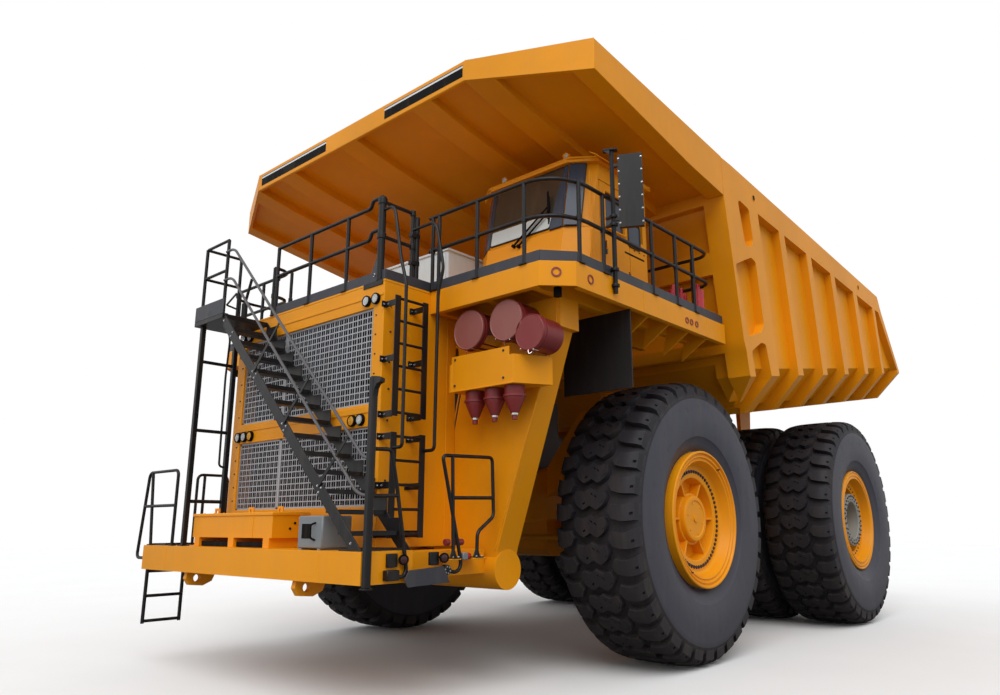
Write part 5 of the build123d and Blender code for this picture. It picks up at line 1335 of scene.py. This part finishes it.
# Bent grab rails, their feet, and the step plate and lamps at the bumper's left end
grabX = 2.300
grabShape = {
    "pipe": 0.0195,
    "bend": 0.07,
    "routes": (
        # hoop over the right ladder
        ((-2.268, -4.600, 1.330), (-2.575, -4.600, 1.330), (-2.418, -4.600, 2.430), (-1.600, -4.600, 2.430),
         (-1.600, -4.600, 1.500)),
        ((-2.200, -4.600, 1.500), (-2.330, -4.600, 2.430)),
        ((-2.490, -4.600, 1.990), (-1.600, -4.600, 1.990)),
        # hoop over the plate at the left side beam, one leg leaning out
        ((grabX, -3.600, 1.285), (grabX, -3.460, 1.258), (grabX, -3.395, 1.330), (grabX, -3.688, 2.435),
         (grabX, -2.938, 2.458), (grabX, -2.912, 1.822), (grabX, -3.164, 1.658), (grabX, -3.172, 1.400)),
        ((grabX, -3.514, 1.400), (grabX, -3.545, 2.438)),
        ((grabX, -3.520, 2.007), (grabX, -2.922, 2.020)),
        # hoop over the right side beam
        ((-grabX, -4.000, 1.360), (-grabX, -4.000, 2.430), (-grabX, -3.560, 2.430), (-grabX, -3.560, 1.360)),
        ((-grabX, -3.900, 1.400), (-grabX, -3.900, 2.430)),
        ((-grabX, -4.000, 2.070), (-grabX, -3.560, 2.070)),
        # rail behind the post
        ((grabX, -4.580, 2.438), (grabX, -4.365, 2.445), (grabX, -4.274, 2.059), (grabX, -4.182, 1.575),
         (grabX, -4.134, 1.300), (grabX, -4.185, 1.245), (grabX, -4.330, 1.285)),
        ((grabX, -4.580, 2.000), (grabX, -4.272, 2.010)),
        # long rails beside the ladder, up to the gate
        ((1.742, -3.900, 2.535), (1.902, -3.900, 2.535), (1.892, -3.900, 4.330), (1.790, -3.900, 4.650),
         (1.660, -3.900, 5.270), (1.600, -3.900, 5.330), (1.482, -3.900, 5.330)),
        ((1.742, -3.440, 2.533), (1.900, -3.440, 2.533), (1.910, -3.440, 4.330), (1.990, -3.440, 4.620),
         (1.870, -3.440, 5.140), (1.810, -3.440, 5.220), (1.464, -3.440, 5.220)),
    ),
    "feet": (-3.514, -3.172),
    "footZ": 1.400,
    "bumperFeet": ((-1.600, -4.600), (-2.200, -4.600)),
    "plateX": 2.106,
    "plateZ": (1.384, 1.398),
    "plates": ((-3.640, -3.440), (-3.270, -3.060)),
    "rightPlate": (-4.020, -3.500),
    "lampBrackets": ((-4.367, -4.242), (-3.831, -3.707)),
    "endBox": ((2.270, 2.345), (-4.400, -4.250), (1.225, 1.322)),
    "stepPlateX": 2.335,
    "stepPlate": ((-4.143, 1.312), (-3.695, 1.334), (-3.598, 1.172), (-4.150, 1.156), (-4.195, 1.225)),
    "stepArms": ((-4.10, -4.06), (-3.76, -3.72)),
    "connector": (2.280, 2.345, -3.632, 1.292),
    "couplings": (2.262, 1.560, (-3.600, -3.545), (-3.455, -3.350)),
}


def makeGrabRails():
    bm = bmesh.new()
    shape, x = grabShape, grabX
    for route in shape["routes"]:
        addPipe(bm, route, shape["pipe"], shape["bend"], 12)
    z = shape["footZ"]
    for y in shape["feet"]:
        outline = [(x - 0.006, y - 0.055, z), (x - 0.006, y + 0.055, z), (x - 0.006, y + 0.012, z + 0.1),
                   (x - 0.006, y - 0.012, z + 0.1)]
        addPlate(bm, outline, (0.012, 0, 0), 0.002)
        addBox(bm, around(x, 0.05), around(y, 0.06), (z - 0.002, z + 0.01), 0.003)
        for bolt in around(y, 0.04):
            addBolt(bm, (x + 0.035, bolt, z + 0.01), (0, 0, 1), 0.011, 2)
    for footX, footY in shape["bumperFeet"]:
        addBox(bm, around(footX, 0.05), around(footY, 0.03), (1.495, 1.507), 0.003)
    # yellow plates that carry the feet
    for y in shape["plates"]:
        addBox(bm, (shape["plateX"], x + 0.045), y, shape["plateZ"], 0.003, 1)
    addBox(bm, (-x - 0.030, -shape["plateX"]), shape["rightPlate"], shape["plateZ"], 0.003, 1)
    # brackets of the lamps, box and step plate beside the bumper
    for y in shape["lampBrackets"]:
        addBox(bm, (2.268, 2.300), y, (1.344, 1.471), 0.005)
    addBox(bm, *shape["endBox"], 0.008)
    stepX = shape["stepPlateX"]
    addPlate(bm, [(stepX, y, z) for y, z in shape["stepPlate"]], (0.014, 0, 0), 0.003, 3)
    for y in shape["stepArms"]:
        addBox(bm, (2.270, stepX), y, (1.20, 1.30), 0.004)
    # connector with its bolts and two hose couplings
    low, high, y, z = shape["connector"]
    addRod(bm, (low, y, z), (high, y, z), 0.052, 20, 0, 0.006)
    addBoltRing(bm, (high, y, z), (1, 0, 0), 0.034, 6, 0.008, 2)
    x, z, *lengths = shape["couplings"]
    for low, high in lengths:
        addRod(bm, (x, low, z), (x, high, z), 0.034, 14, 4, 0.005)
    finishPiece("grab_pipes", bm, (steelBlack, paint, brightSteel, toeGrey, maroon), "chassis",
                ("grab_rails",))


# Post at the bumper's left end, its head turned out to a lip
postShape = {
    "x": (2.272, 2.342),
    "y": (-4.650, -4.580),
    "foot": 1.170,
    "head": 3.125,
    "lip": ((2.342, 2.93), (2.352, 3.000), (2.385, 3.045), (2.440, 3.058), (2.440, 3.092), (2.385, 3.118),
            (2.300, 3.130), (2.285, 3.110), (2.300, 2.93)),
}


def makePost():
    bm = bmesh.new()
    (left, right), (front, rear) = postShape["x"], postShape["y"]
    addBox(bm, (left, right), (front, rear), (postShape["foot"], postShape["head"]), 0.012)
    addPlate(bm, [(x, front + 0.006, z) for x, z in postShape["lip"]], (0, rear - front - 0.012, 0), 0.003)
    addBox(bm, (left - 0.006, right + 0.012), (front - 0.012, rear + 0.012),
           (postShape["foot"] - 0.010, postShape["foot"] + 0.006), 0.004)
    finishPiece("post_bar", bm, (steelBlack,), "chassis", ("post",))


makeLadders()
makeGrabRails()
makePost()
print("rails made")


# Deck: joints of its fascia, tie-down rings and what hangs under it
deckShape = {
    "side": 3.522,
    "fascia": 4.180,
    "rings": (
        # place, axis, radius
        ((3.372, -3.114, 4.33), (0.707, -0.707, 0), 0.052), ((3.522, -2.706, 4.315), (1, 0, 0), 0.052),
        ((3.522, -0.57, 4.30), (1, 0, 0), 0.040), ((3.522, -0.45, 4.30), (1, 0, 0), 0.040),
        ((3.522, -0.31, 4.30), (1, 0, 0), 0.040),
    ),
    "seams": (-1.62, -0.02),
    "gussets": (-1.45, -0.95, -0.45, 0.05),
    "gusset": ((3.49, 4.19), (3.17, 4.42), (3.08, 3.92)),
    "drain": (3.30, -3.00, 4.20, 4.10),
    "lipSide": ((3.44, 3.50), (-2.90, 0.50)),
    "lipFront": ((1.60, 3.20), (-3.22, -3.16)),
}


def deckTrim(bm):
    for place, axis, radius in deckShape["rings"]:
        addRing(bm, place, axis, radius - 0.015, radius + 0.003, 0.008, 1)
    for y in deckShape["seams"]:
        bead(bm, [(deckShape["side"], y, z) for z in (deckShape["fascia"] + 0.01, deckTop - 0.01)], 0.005)
    for side in (-1, 1):
        for y in deckShape["gussets"]:
            addPlate(bm, [(side * x, y, z) for x, z in deckShape["gusset"]], (0, 0.016, 0), 0.002)
        x, y, top, foot = deckShape["drain"]
        addRod(bm, (side * x, y, top), (side * x, y, foot), 0.045, 16, 2)
        # lip round the foot of the fascia
        foot = deckShape["fascia"]
        for (low, high), y in (deckShape["lipSide"], deckShape["lipFront"]):
            addBox(bm, (side * low, side * high), y, (foot, foot + 0.012), 0.003)


nodePiece("deck", (paint, maroon, bandBlack), "chassis", 0.006, deckTrim)


# Front upright: seams of its box legs
uprightShape = {
    "face": -2.803,
    "outer": ((2.25, 1.47), (3.15, 3.80), (3.17, 4.15)),
    "inner": ((1.24, 1.49), (1.66, 3.27)),
}


def uprightTrim(bm):
    for side in (-1, 1):
        for line in (uprightShape["outer"], uprightShape["inner"]):
            bead(bm, [(side * (x - 0.03), uprightShape["face"], z) for x, z in line], 0.010)
        bead(bm, [(side * x, uprightShape["face"], 3.85) for x in (1.60, 3.15)], 0.008)


nodePiece("front_upright", (paint, darkSteel), "chassis", 0.010, uprightTrim)


# Cab: glazing, gaskets, wipers, lamps and door
cabShape = {
    "middle": 2.125,
    "foot": (-2.170, 5.290),               # y, z where the leaning screen starts
    "head": (-2.010, 6.190),
    "corner": (2.760, 3.050, 0.210),       # x of the corner panel's edges and its depth
    "cornerPane": 2.930,
    "innerStrip": (1.490, 1.525),
    "side": 3.050,
    "rearPane": (-1.160, -0.880, 5.270, 5.600),
    # pale is the top of the lower windscreen pane, which is painted pale as the sky's reflection
    "screen": {"left": 1.535, "footRight": 2.545, "headRight": 2.690, "low": 5.335, "high": 6.178,
               "pale": 5.545},
    "eaves": 6.030,
    "roof": (6.190, 6.255, 0.150),         # underside, top and how far its front is drawn back
    "lamps": ((1.673, 6.315), (2.720, 6.315)),
    "louvre": ((-1.25, -0.78), (5.150, 5.172)),
    "sideSeams": (-2.00, -1.945),
    "sideBolts": (4.60, 5.24),
    "visor": ((0.05, -2.06, 6.23), (0.12, -2.02, 6.19), (0.12, -1.20, 6.19), (0.05, -1.20, 6.23)),
    "sill": (1.49, 2.76, 3.04),
    "rainEdge": ((1.15, -0.65), (1.15, -1.87), (1.44, -2.085), (2.81, -2.085), (3.10, -1.87), (3.10, -0.65)),
    "wipers": (
        # foot and tip of each arm, x and z on the screen
        ((1.975, 5.230), (2.500, 5.640)), ((2.060, 5.205), (2.525, 5.560)),
    ),
}


def onScreen(x, z, out=0.0):
    # point on the cab's leaning front, or on its corner panel past the front's edge
    (footY, footZ), (headY, headZ) = cabShape["foot"], cabShape["head"]
    y = footY + (headY - footY) * (z - footZ) / (headZ - footZ)
    edge, far, depth = cabShape["corner"]
    way = Vector((0, -1, 0.21))
    if x > edge:
        y += (x - edge) / (far - edge) * depth
        way = Vector((0.59, -0.81, 0.17))
    return Vector((x, y, z)) + way.normalized() * out


def screenPane(bm, corners, out, index):
    outline = [onScreen(x, z, out) for x, z in corners]
    normal = (outline[1] - outline[0]).cross(outline[2] - outline[0]).normalized()
    if normal.y > 0:
        normal.negate()
    addPlate(bm, outline, normal * 0.008, 0.002, index)


def gasketLine(bm, points, size=0.013, index=2, closed=True):
    addPipe(bm, points, size, 0.03, 8, index, closed)


def screenRight(z):
    # the screen's outer edge at a height
    shape = cabShape["screen"]
    share = (z - shape["low"]) / (shape["high"] - shape["low"])
    return shape["footRight"] + (shape["headRight"] - shape["footRight"]) * share


def makeScreens():
    bm = bmesh.new()
    left, low, high, pale = (cabShape["screen"][key] for key in ("left", "low", "high", "pale"))
    edge, pane, foot = cabShape["corner"][0], cabShape["cornerPane"], low - 0.03
    lowRight, paleRight, highRight = (screenRight(z) for z in (low, pale, high))
    # upper pane: opaque dark glass with the cab inside's shade painted in; lower pane, up to pale: painted
    # pale as the sky's reflection
    screenPane(bm, [(left, pale), (paleRight, pale), (highRight, high), (left, high)], 0.004, 0)
    screenPane(bm, [(left, low), (lowRight, low), (paleRight, pale), (left, pale)], 0.004, 1)
    # corner panes: opaque, with the cab inside's shade painted dark
    corner = [(lowRight + 0.012, foot), (edge, foot), (edge, high), (highRight + 0.012, high)]
    screenPane(bm, corner, 0.020, 3)
    screenPane(bm, [(edge + 0.001, foot), (pane, foot), (pane, high), (edge + 0.001, high)], 0.034, 3)
    rim = ((left, low), (lowRight, low), (highRight, high), (left, high))
    gasketLine(bm, [onScreen(x, z, 0.010) for x, z in rim], 0.011)
    rim = ((lowRight + 0.01, foot), (edge, foot), (pane, foot), (pane, high))
    gasketLine(bm, [onScreen(x, z, 0.010) for x, z in rim], 0.010, closed=False)
    # the cab's inner corner
    inner, strip = 2 * cabShape["middle"], cabShape["innerStrip"]
    screenPane(bm, [(strip[0], foot), (strip[1], foot), (strip[1], high), (strip[0], high)], 0.006, 3)
    rim = ((edge + 0.001, foot), (2.99, foot), (2.99, high), (edge + 0.001, high))
    outline = [Vector((inner - p.x, p.y, p.z)) for p in (onScreen(x, z, 0.006) for x, z in rim)]
    addPlate(bm, outline, Vector((-0.005, -0.006, 0)), 0.0, 3)
    # wipers: double arms with a blade along the glass
    for (footX, footZ), (tipX, tipZ) in cabShape["wipers"]:
        for shift in (0.0, 0.035):
            arm = [onScreen(footX + shift, footZ, 0.035), onScreen(tipX + shift * 0.4, tipZ, 0.045)]
            addPipe(bm, arm, 0.007, 0.01, 8, 4)
        addRod(bm, onScreen(footX, footZ, 0.0), onScreen(footX, footZ, 0.045), 0.022, 12, 4)
        y = onScreen(tipX, tipZ, 0.03).y
        addBox(bm, around(tipX, 0.012), (y - 0.012, y + 0.006), (tipZ - 0.16, tipZ + 0.22), 0.003, 4)
    # rear pane of the side and its gasket
    out = cabShape["side"] + 0.006
    y1, y2, low, high = cabShape["rearPane"]
    addBox(bm, (out - 0.004, out), (y1, y2), (low, high), 0.001, 3)
    gasketLine(bm, [(out, y1, low), (out, y2, low), (out, y2, high), (out, y1, high)], 0.012)
    finishPiece("cab_panes", bm, (screenGlass, paintedReflectionGlass, gasket, paneGlass, bandBlack), "chassis",
                ("cab_glass",), weighted=False)


def cabReshape(place):
    # the roof sits higher and further back on the screen's head
    low, high, back = cabShape["roof"]
    if place.z < cabShape["eaves"] - 0.01:
        return place
    outside = place.y < -2.05 or (place.y < -1.85 and abs(place.x - cabShape["middle"]) > 0.94)
    return Vector((place.x, place.y + back * outside, high if place.z > cabShape["eaves"] + 0.05 else low))


def cabTrimming(bm):
    side = cabShape["side"]
    # louvre, seams, visor at the roof's side and lamps over the screen
    addBox(bm, (side, side + 0.004), *cabShape["louvre"], 0.0, 1)
    for y in cabShape["sideSeams"]:
        bead(bm, [(side, y, 4.62), (side, y, 6.03)], 0.006)
    for z in cabShape["sideBolts"]:
        boltRow(bm, (side, -1.02, z), (side, -0.78, z), 3, (1, 0, 0), 0.009, 1)
    addPlate(bm, [(side + x, y, z) for x, y, z in cabShape["visor"]], (0, 0, 0.012), 0.002)
    for x, z in cabShape["lamps"]:
        addRod(bm, (x, -2.03, 6.24), (x, -2.03, z), 0.012, 10, 1)
        lampUnit(bm, (x, -2.00, z), (0.1, -1, -0.12), 0.042, 0.05, 3)
    bead(bm, [onScreen(x, 5.30, 0.002) for x in cabShape["sill"]], 0.005)
    # rain edge round the roof
    z = cabShape["roof"][1] - 0.015
    addPipe(bm, [(x, y, z) for x, y in cabShape["rainEdge"]], 0.014, 0.03, 8)


doorShape = {
    "x": 3.050,
    "window": (-1.700, -1.225, 5.370, 5.865),
    "handle": (-1.715, 5.064, 5.180),
    "hinges": (4.80, 5.72),
}


def doorTrim(bm):
    x = doorShape["x"]
    y1, y2, low, high = doorShape["window"]
    rim = ((y1, low), (y2, low), (y2, high), (y1, high))
    gasketLine(bm, [(x + 0.004, y, z) for y, z in rim], 0.016, 1)
    y, low, high = doorShape["handle"]
    addBox(bm, (x, x + 0.008), around(y, 0.030), (low - 0.02, high + 0.02), 0.004, 1)
    addPipe(bm, [(x, y, low), (x + 0.05, y, low), (x + 0.05, y, high), (x, y, high)], 0.011, 0.02, 10, 1)
    for z in doorShape["hinges"]:
        boltRow(bm, (x, -1.16, z), (x, -1.16, z + 0.10), 2, (1, 0, 0), 0.010, 1)


nodePiece("cab_shell", (paint, bandBlack, reflector, clearLens), "chassis", 0.006,
          cabTrimming, reshape=cabReshape)
nodePiece("cab_door", (paint, gasket), "cab_door", 0.004, doorTrim)
makeScreens()
print("deck and cab made")


# Pale cabinets beside the cab
cabinetShape = {
    "front": -2.550,
    "doors": ((-1.33, -0.73), (-0.72, -0.11), (-0.10, 0.51), (0.52, 1.10)),
    "low": 4.53,
    "high": 5.26,
    "handle": 4.91,
    "eyes": (-1.15, -0.1, 0.9),
}


def cabinetTrim(bm):
    # doors with a handle and two hinges each, and lifting eyes on top
    front, low, high, handle = (cabinetShape[key] for key in ("front", "low", "high", "handle"))
    for left, right in cabinetShape["doors"]:
        addBox(bm, (left + 0.02, right - 0.02), (front - 0.012, front + 0.002), (low, high), 0.005)
        x = right - 0.09
        addBox(bm, around(x, 0.018), (front - 0.020, front - 0.010), around(handle, 0.05), 0.004, 1)
        addRod(bm, (x, front - 0.012, handle), (x, front - 0.05, handle), 0.010, 10, 1)
        addBox(bm, around(x, 0.045), (front - 0.060, front - 0.046), around(handle, 0.009), 0.004, 1)
        x = left + 0.025
        for z in (low + 0.08, high - 0.12):
            addRod(bm, (x, front - 0.014, z), (x, front - 0.014, z + 0.07), 0.010, 10, 1)
    for x in cabinetShape["eyes"]:
        addRing(bm, (x, -2.0, 5.345), (0, 1, 0), 0.022, 0.040, 0.012, 1)


nodePiece("control_cabinet", (cabinetWhite, darkSteel), "chassis", 0.006, cabinetTrim)


# Air cleaners: bands, latches and wires, and the bowls under their bracket
cleanerShape = {
    "places": (
        # x, z, radius
        (2.126, 3.907, 0.235), (2.694, 3.921, 0.235), (3.036, 3.726, 0.200),
    ),
    "face": -3.140,
    "cap": (
        # offset from the face, share of the radius
        (0.0, 0.0), (0.0, 0.985), (0.014, 1.0), (0.022, 0.985), (0.026, 0.955), (0.020, 0.93), (0.020, 0.0),
    ),
    "latches": (-1.3, -2.2),               # angles round the rim
    "bowls": (2.140, 2.440, 2.730),
    "bowlY": -3.050,
    "bandZ": 3.075,
    "drainZ": 2.880,
}


def cleanerTrim(bm):
    face = cleanerShape["face"]
    for x, z, radius in cleanerShape["places"]:
        cap = [(along, share * radius) for along, share in cleanerShape["cap"]]
        # painted shade: the third cleaner's cap, past x 3, takes the dark maroon instead of pink, standing
        # for its shade behind the bracket
        addLathe(bm, cap, (x, face, z), (0, -1, 0), 64, 0 if x > 3 else 1)
        addRing(bm, (x, face + 0.055, z), (0, -1, 0), radius - 0.002, radius + 0.006, 0.020, 0, 56)
        for angle in cleanerShape["latches"]:
            out = Vector((cos(angle), 0, sin(angle)))
            start = Vector((x, face + 0.06, z)) + out * (radius + 0.003)
            addRod(bm, start, start + Vector((0, -0.085, 0)), 0.007, 8, 3)
        wire = [(x - 0.02, face - 0.020, z - radius * 0.93), (x - 0.01, face - 0.03, z - radius - 0.06),
                (x + 0.03, -3.12, 3.54)]
        addPipe(bm, wire, 0.004, 0.05, 6, 3)
    y = cleanerShape["bowlY"]
    for x in cleanerShape["bowls"]:
        addRing(bm, (x, y, cleanerShape["bandZ"]), (0, 0, 1), 0.108, 0.126, 0.022, 0, 40)
        addRing(bm, (x, y, cleanerShape["drainZ"]), (0, 0, 1), 0.020, 0.040, 0.030, 3, 32)


bracketShape = {
    "face": -3.200,
    "bolts": ((2.70, 3.57), (2.70, 3.27), (1.96, 3.57), (1.96, 3.27)),
    "flange": ((1.875, 1.915), (3.20, 3.52)),
    "lip": ((1.90, 2.845), (3.196, 3.212)),
    "sideBolts": ((2.82, -3.159, 3.44), (2.88, -3.051, 3.44)),
}


def bracketTrim(bm):
    face = bracketShape["face"]
    for x, z in bracketShape["bolts"]:
        addBolt(bm, (x, face, z), (0, -1, 0), 0.013, 1)
    addBox(bm, bracketShape["flange"][0], (face - 0.006, face + 0.01), bracketShape["flange"][1], 0.003)
    addBox(bm, bracketShape["lip"][0], around(face, 0.010), bracketShape["lip"][1], 0.003)
    for place in bracketShape["sideBolts"]:
        addBolt(bm, place, (0.86, -0.5, 0), 0.012, 1)


nodePiece("air_cleaners", (maroon, capPink, darkSteel, reflector), "chassis", 0.006,
          cleanerTrim)
nodePiece("air_cleaner_bracket", (paint, darkSteel), "chassis", 0.004, bracketTrim)


# Mirrors: glass, bolts along both edges, clamps and a cap on each post
mirrorShape = {
    "place": (3.552, -2.260),
    "turn": 28,
    "low": deckTop + 0.575,
    "high": deckTop + 1.475,
    "across": (0.080, 0.340),
    "bolts": 6,
    "glass": (0.10, 0.32),
    "half": 0.030,
    "cap": ((-0.10, -0.045, 6.0), (0.07, -0.045, 6.0), (0.07, 0.045, 6.0), (-0.10, 0.045, 6.0)),
    "capRib": ((-0.10, -0.04, 6.0), (-0.02, -0.04, 6.0), (-0.02, -0.04, 5.94)),
    "clamps": (5.06, 5.16, 4.52, 4.33),
}


def mirrorTrim(bm):
    part = bmesh.new()
    x, y = mirrorShape["place"]
    place = Matrix.Translation((x, y, 0)) @ Matrix.Rotation(radians(mirrorShape["turn"]), 4, "Z")
    turn = place.to_3x3()
    low, high, half = mirrorShape["low"], mirrorShape["high"], mirrorShape["half"]
    for across in mirrorShape["across"]:
        for n in range(mirrorShape["bolts"]):
            z = low + 0.05 + (high - low - 0.10) * n / (mirrorShape["bolts"] - 1)
            addBolt(part, place @ Vector((across, -half, z)), turn @ Vector((0, -1, 0)), 0.010, 1)
    left, right = mirrorShape["glass"]
    glass = ((left, half, low + 0.05), (right, half, low + 0.05), (right, half, high - 0.05),
             (left, half, high - 0.05))
    for outline, depth, bevel, index in ((glass, turn @ Vector((0, 0.004, 0)), 0.001, 2),
                                         (mirrorShape["cap"], (0, 0, 0.02), 0.003, 0),
                                         (mirrorShape["capRib"], (0, 0.05, 0), 0.002, 0)):
        addPlate(part, [place @ Vector(point) for point in outline], depth, bevel, index)
    for z in mirrorShape["clamps"]:
        addRod(part, (x, y, z), (x, y, z + 0.035), 0.048, 16, 0, 0.005)
        addBox(part, (x - 0.10, x + 0.03), around(y, 0.022), (z + 0.004, z + 0.030), 0.004)
    mirrorPiece(part)
    mesh = bpy.data.meshes.new("mirrorFittings")
    part.to_mesh(mesh)
    part.free()
    bm.from_mesh(mesh)
    bpy.data.meshes.remove(mesh)


nodePiece("mirrors", (steelBlack, brightSteel, reflector), "chassis", 0.004, mirrorTrim)


# Bed and canopy: stripes, closed corner faces and lifting holes
canopyShape = {
    "front": -3.448,
    "stripes": (
        # z low, z high, material
        (7.094, 7.108, 2), (7.070, 7.094, 3), (6.948, 7.070, 1),
    ),
    "sections": ((-2.205, -0.500), (0.806, 2.262)),
    "corner": ((2.291, -3.451, 6.888), (3.721, -2.798, 6.750), (3.721, -2.798, 7.146),
               (2.291, -3.451, 7.159)),
}


def canopyTrim(bm):
    front = canopyShape["front"]
    for left, right in canopyShape["sections"]:
        for low, high, index in canopyShape["stripes"]:
            addBox(bm, (left, right), around(front, 0.002), (low, high), 0.0, index)
    # closed faces on the slanted corners
    for side in (-1, 1):
        outline = [Vector((side * x, y, z)) for x, y, z in canopyShape["corner"]]
        addPlate(bm, outline, Vector((side * -0.415, 0.910, 0)) * 0.045, 0.003)


bedShape = {
    "side": 3.719,
    "holes": ((1.42, 6.63), (6.40, 6.40)),
}


def bedTrim(bm):
    for side in (-1, 1):
        for y, z in bedShape["holes"]:
            # a black disc in each lifting hole is painted shade inside the hole; the ring round it is the
            # yellow rim
            addRod(bm, (side * (bedShape["side"] - 0.010), y, z), (side * (bedShape["side"] + 0.003), y, z),
                   0.045, 24, 1)
            addRing(bm, (side * bedShape["side"], y, z), (side, 0, 0), 0.045, 0.060, 0.006, 0)


nodePiece("bed_canopy", (paint, bandBlack, bandNavy, bandWhite), "bed", 0.012, canopyTrim)
nodePiece("bed_shell", (paint, bandBlack), "bed", 0.014, bedTrim)


# Lamps beside the bumper's left end
cornerLampShape = {
    "dark": ((2.300, -4.190, 1.412), (2.300, -3.662, 1.412)),
    "red": (2.300, -3.315, 1.418),
    "aim": (1, -0.35, 0),
    "case": ((0.0, 0.0), (0.0, 0.040), (0.030, 0.050), (0.048, 0.050), (0.048, 0.040)),
    "lens": ((0.034, 0.0), (0.034, 0.041), (0.046, 0.034), (0.050, 0.0)),
}


def makeCornerLamps():
    bm = bmesh.new()
    for place in cornerLampShape["dark"]:
        addLathe(bm, cornerLampShape["case"], place, cornerLampShape["aim"], 24, 0)
        addLathe(bm, cornerLampShape["lens"], place, cornerLampShape["aim"], 24, 2)
    x, y, z = cornerLampShape["red"]
    addBox(bm, around(x, 0.03), (y - 0.085, y - 0.012), around(z, 0.035), 0.006, 3)
    addRod(bm, (x, y - 0.012, z), (x, y + 0.035, z), 0.032, 16, 1, 0.006)
    finishPiece("corner_lamps", bm, (bandBlack, redLens, darkLens, boxGrey), "chassis",
                weighted=False)


makeCornerLamps()


# Plates and castings that keep the CAD form as it is
platework = (
    # node, material, body, slot, edge rounding
    ("frame", paint, "chassis", "yellow_paint", 0.008),
    ("struts", paint, "chassis", "yellow_paint", 0.006),
    ("tanks", paint, "chassis", "yellow_paint", 0.006),
    ("rear_axle", paint, "chassis", "yellow_paint", 0.010),
    ("knuckle_left", paint, "knuckle_left", "yellow_paint", 0.006),
    ("knuckle_right", paint, "knuckle_right", "yellow_paint", 0.006),
    ("tie_rod", paint, "tie_rod", "yellow_paint", 0.004),
    ("hoist_barrels", paint, "hoist_barrels", "yellow_paint", 0.004),
    ("engine", castGrey, "chassis", "cast_block", 0.012),
    ("grid_box", cabinetWhite, "chassis", "pale_grey_paint", 0.006),
    ("mud_flaps", flapRubber, "chassis", "flap_rubber", 0.004),
)
for node, material, body, slot, rounding in platework:
    nodePiece(node, (material,), body, rounding)
# the door glass takes the opaque panes with the cab inside's shade painted in
for node, material in (("hoist_stages", brightSteel), ("hoist_rods", brightSteel),
                       ("cab_door_glass", paneGlass), ("cab_seat", seatCloth), ("fire_bottles", signalRed)):
    coatNode(node, material)
print("plates made")
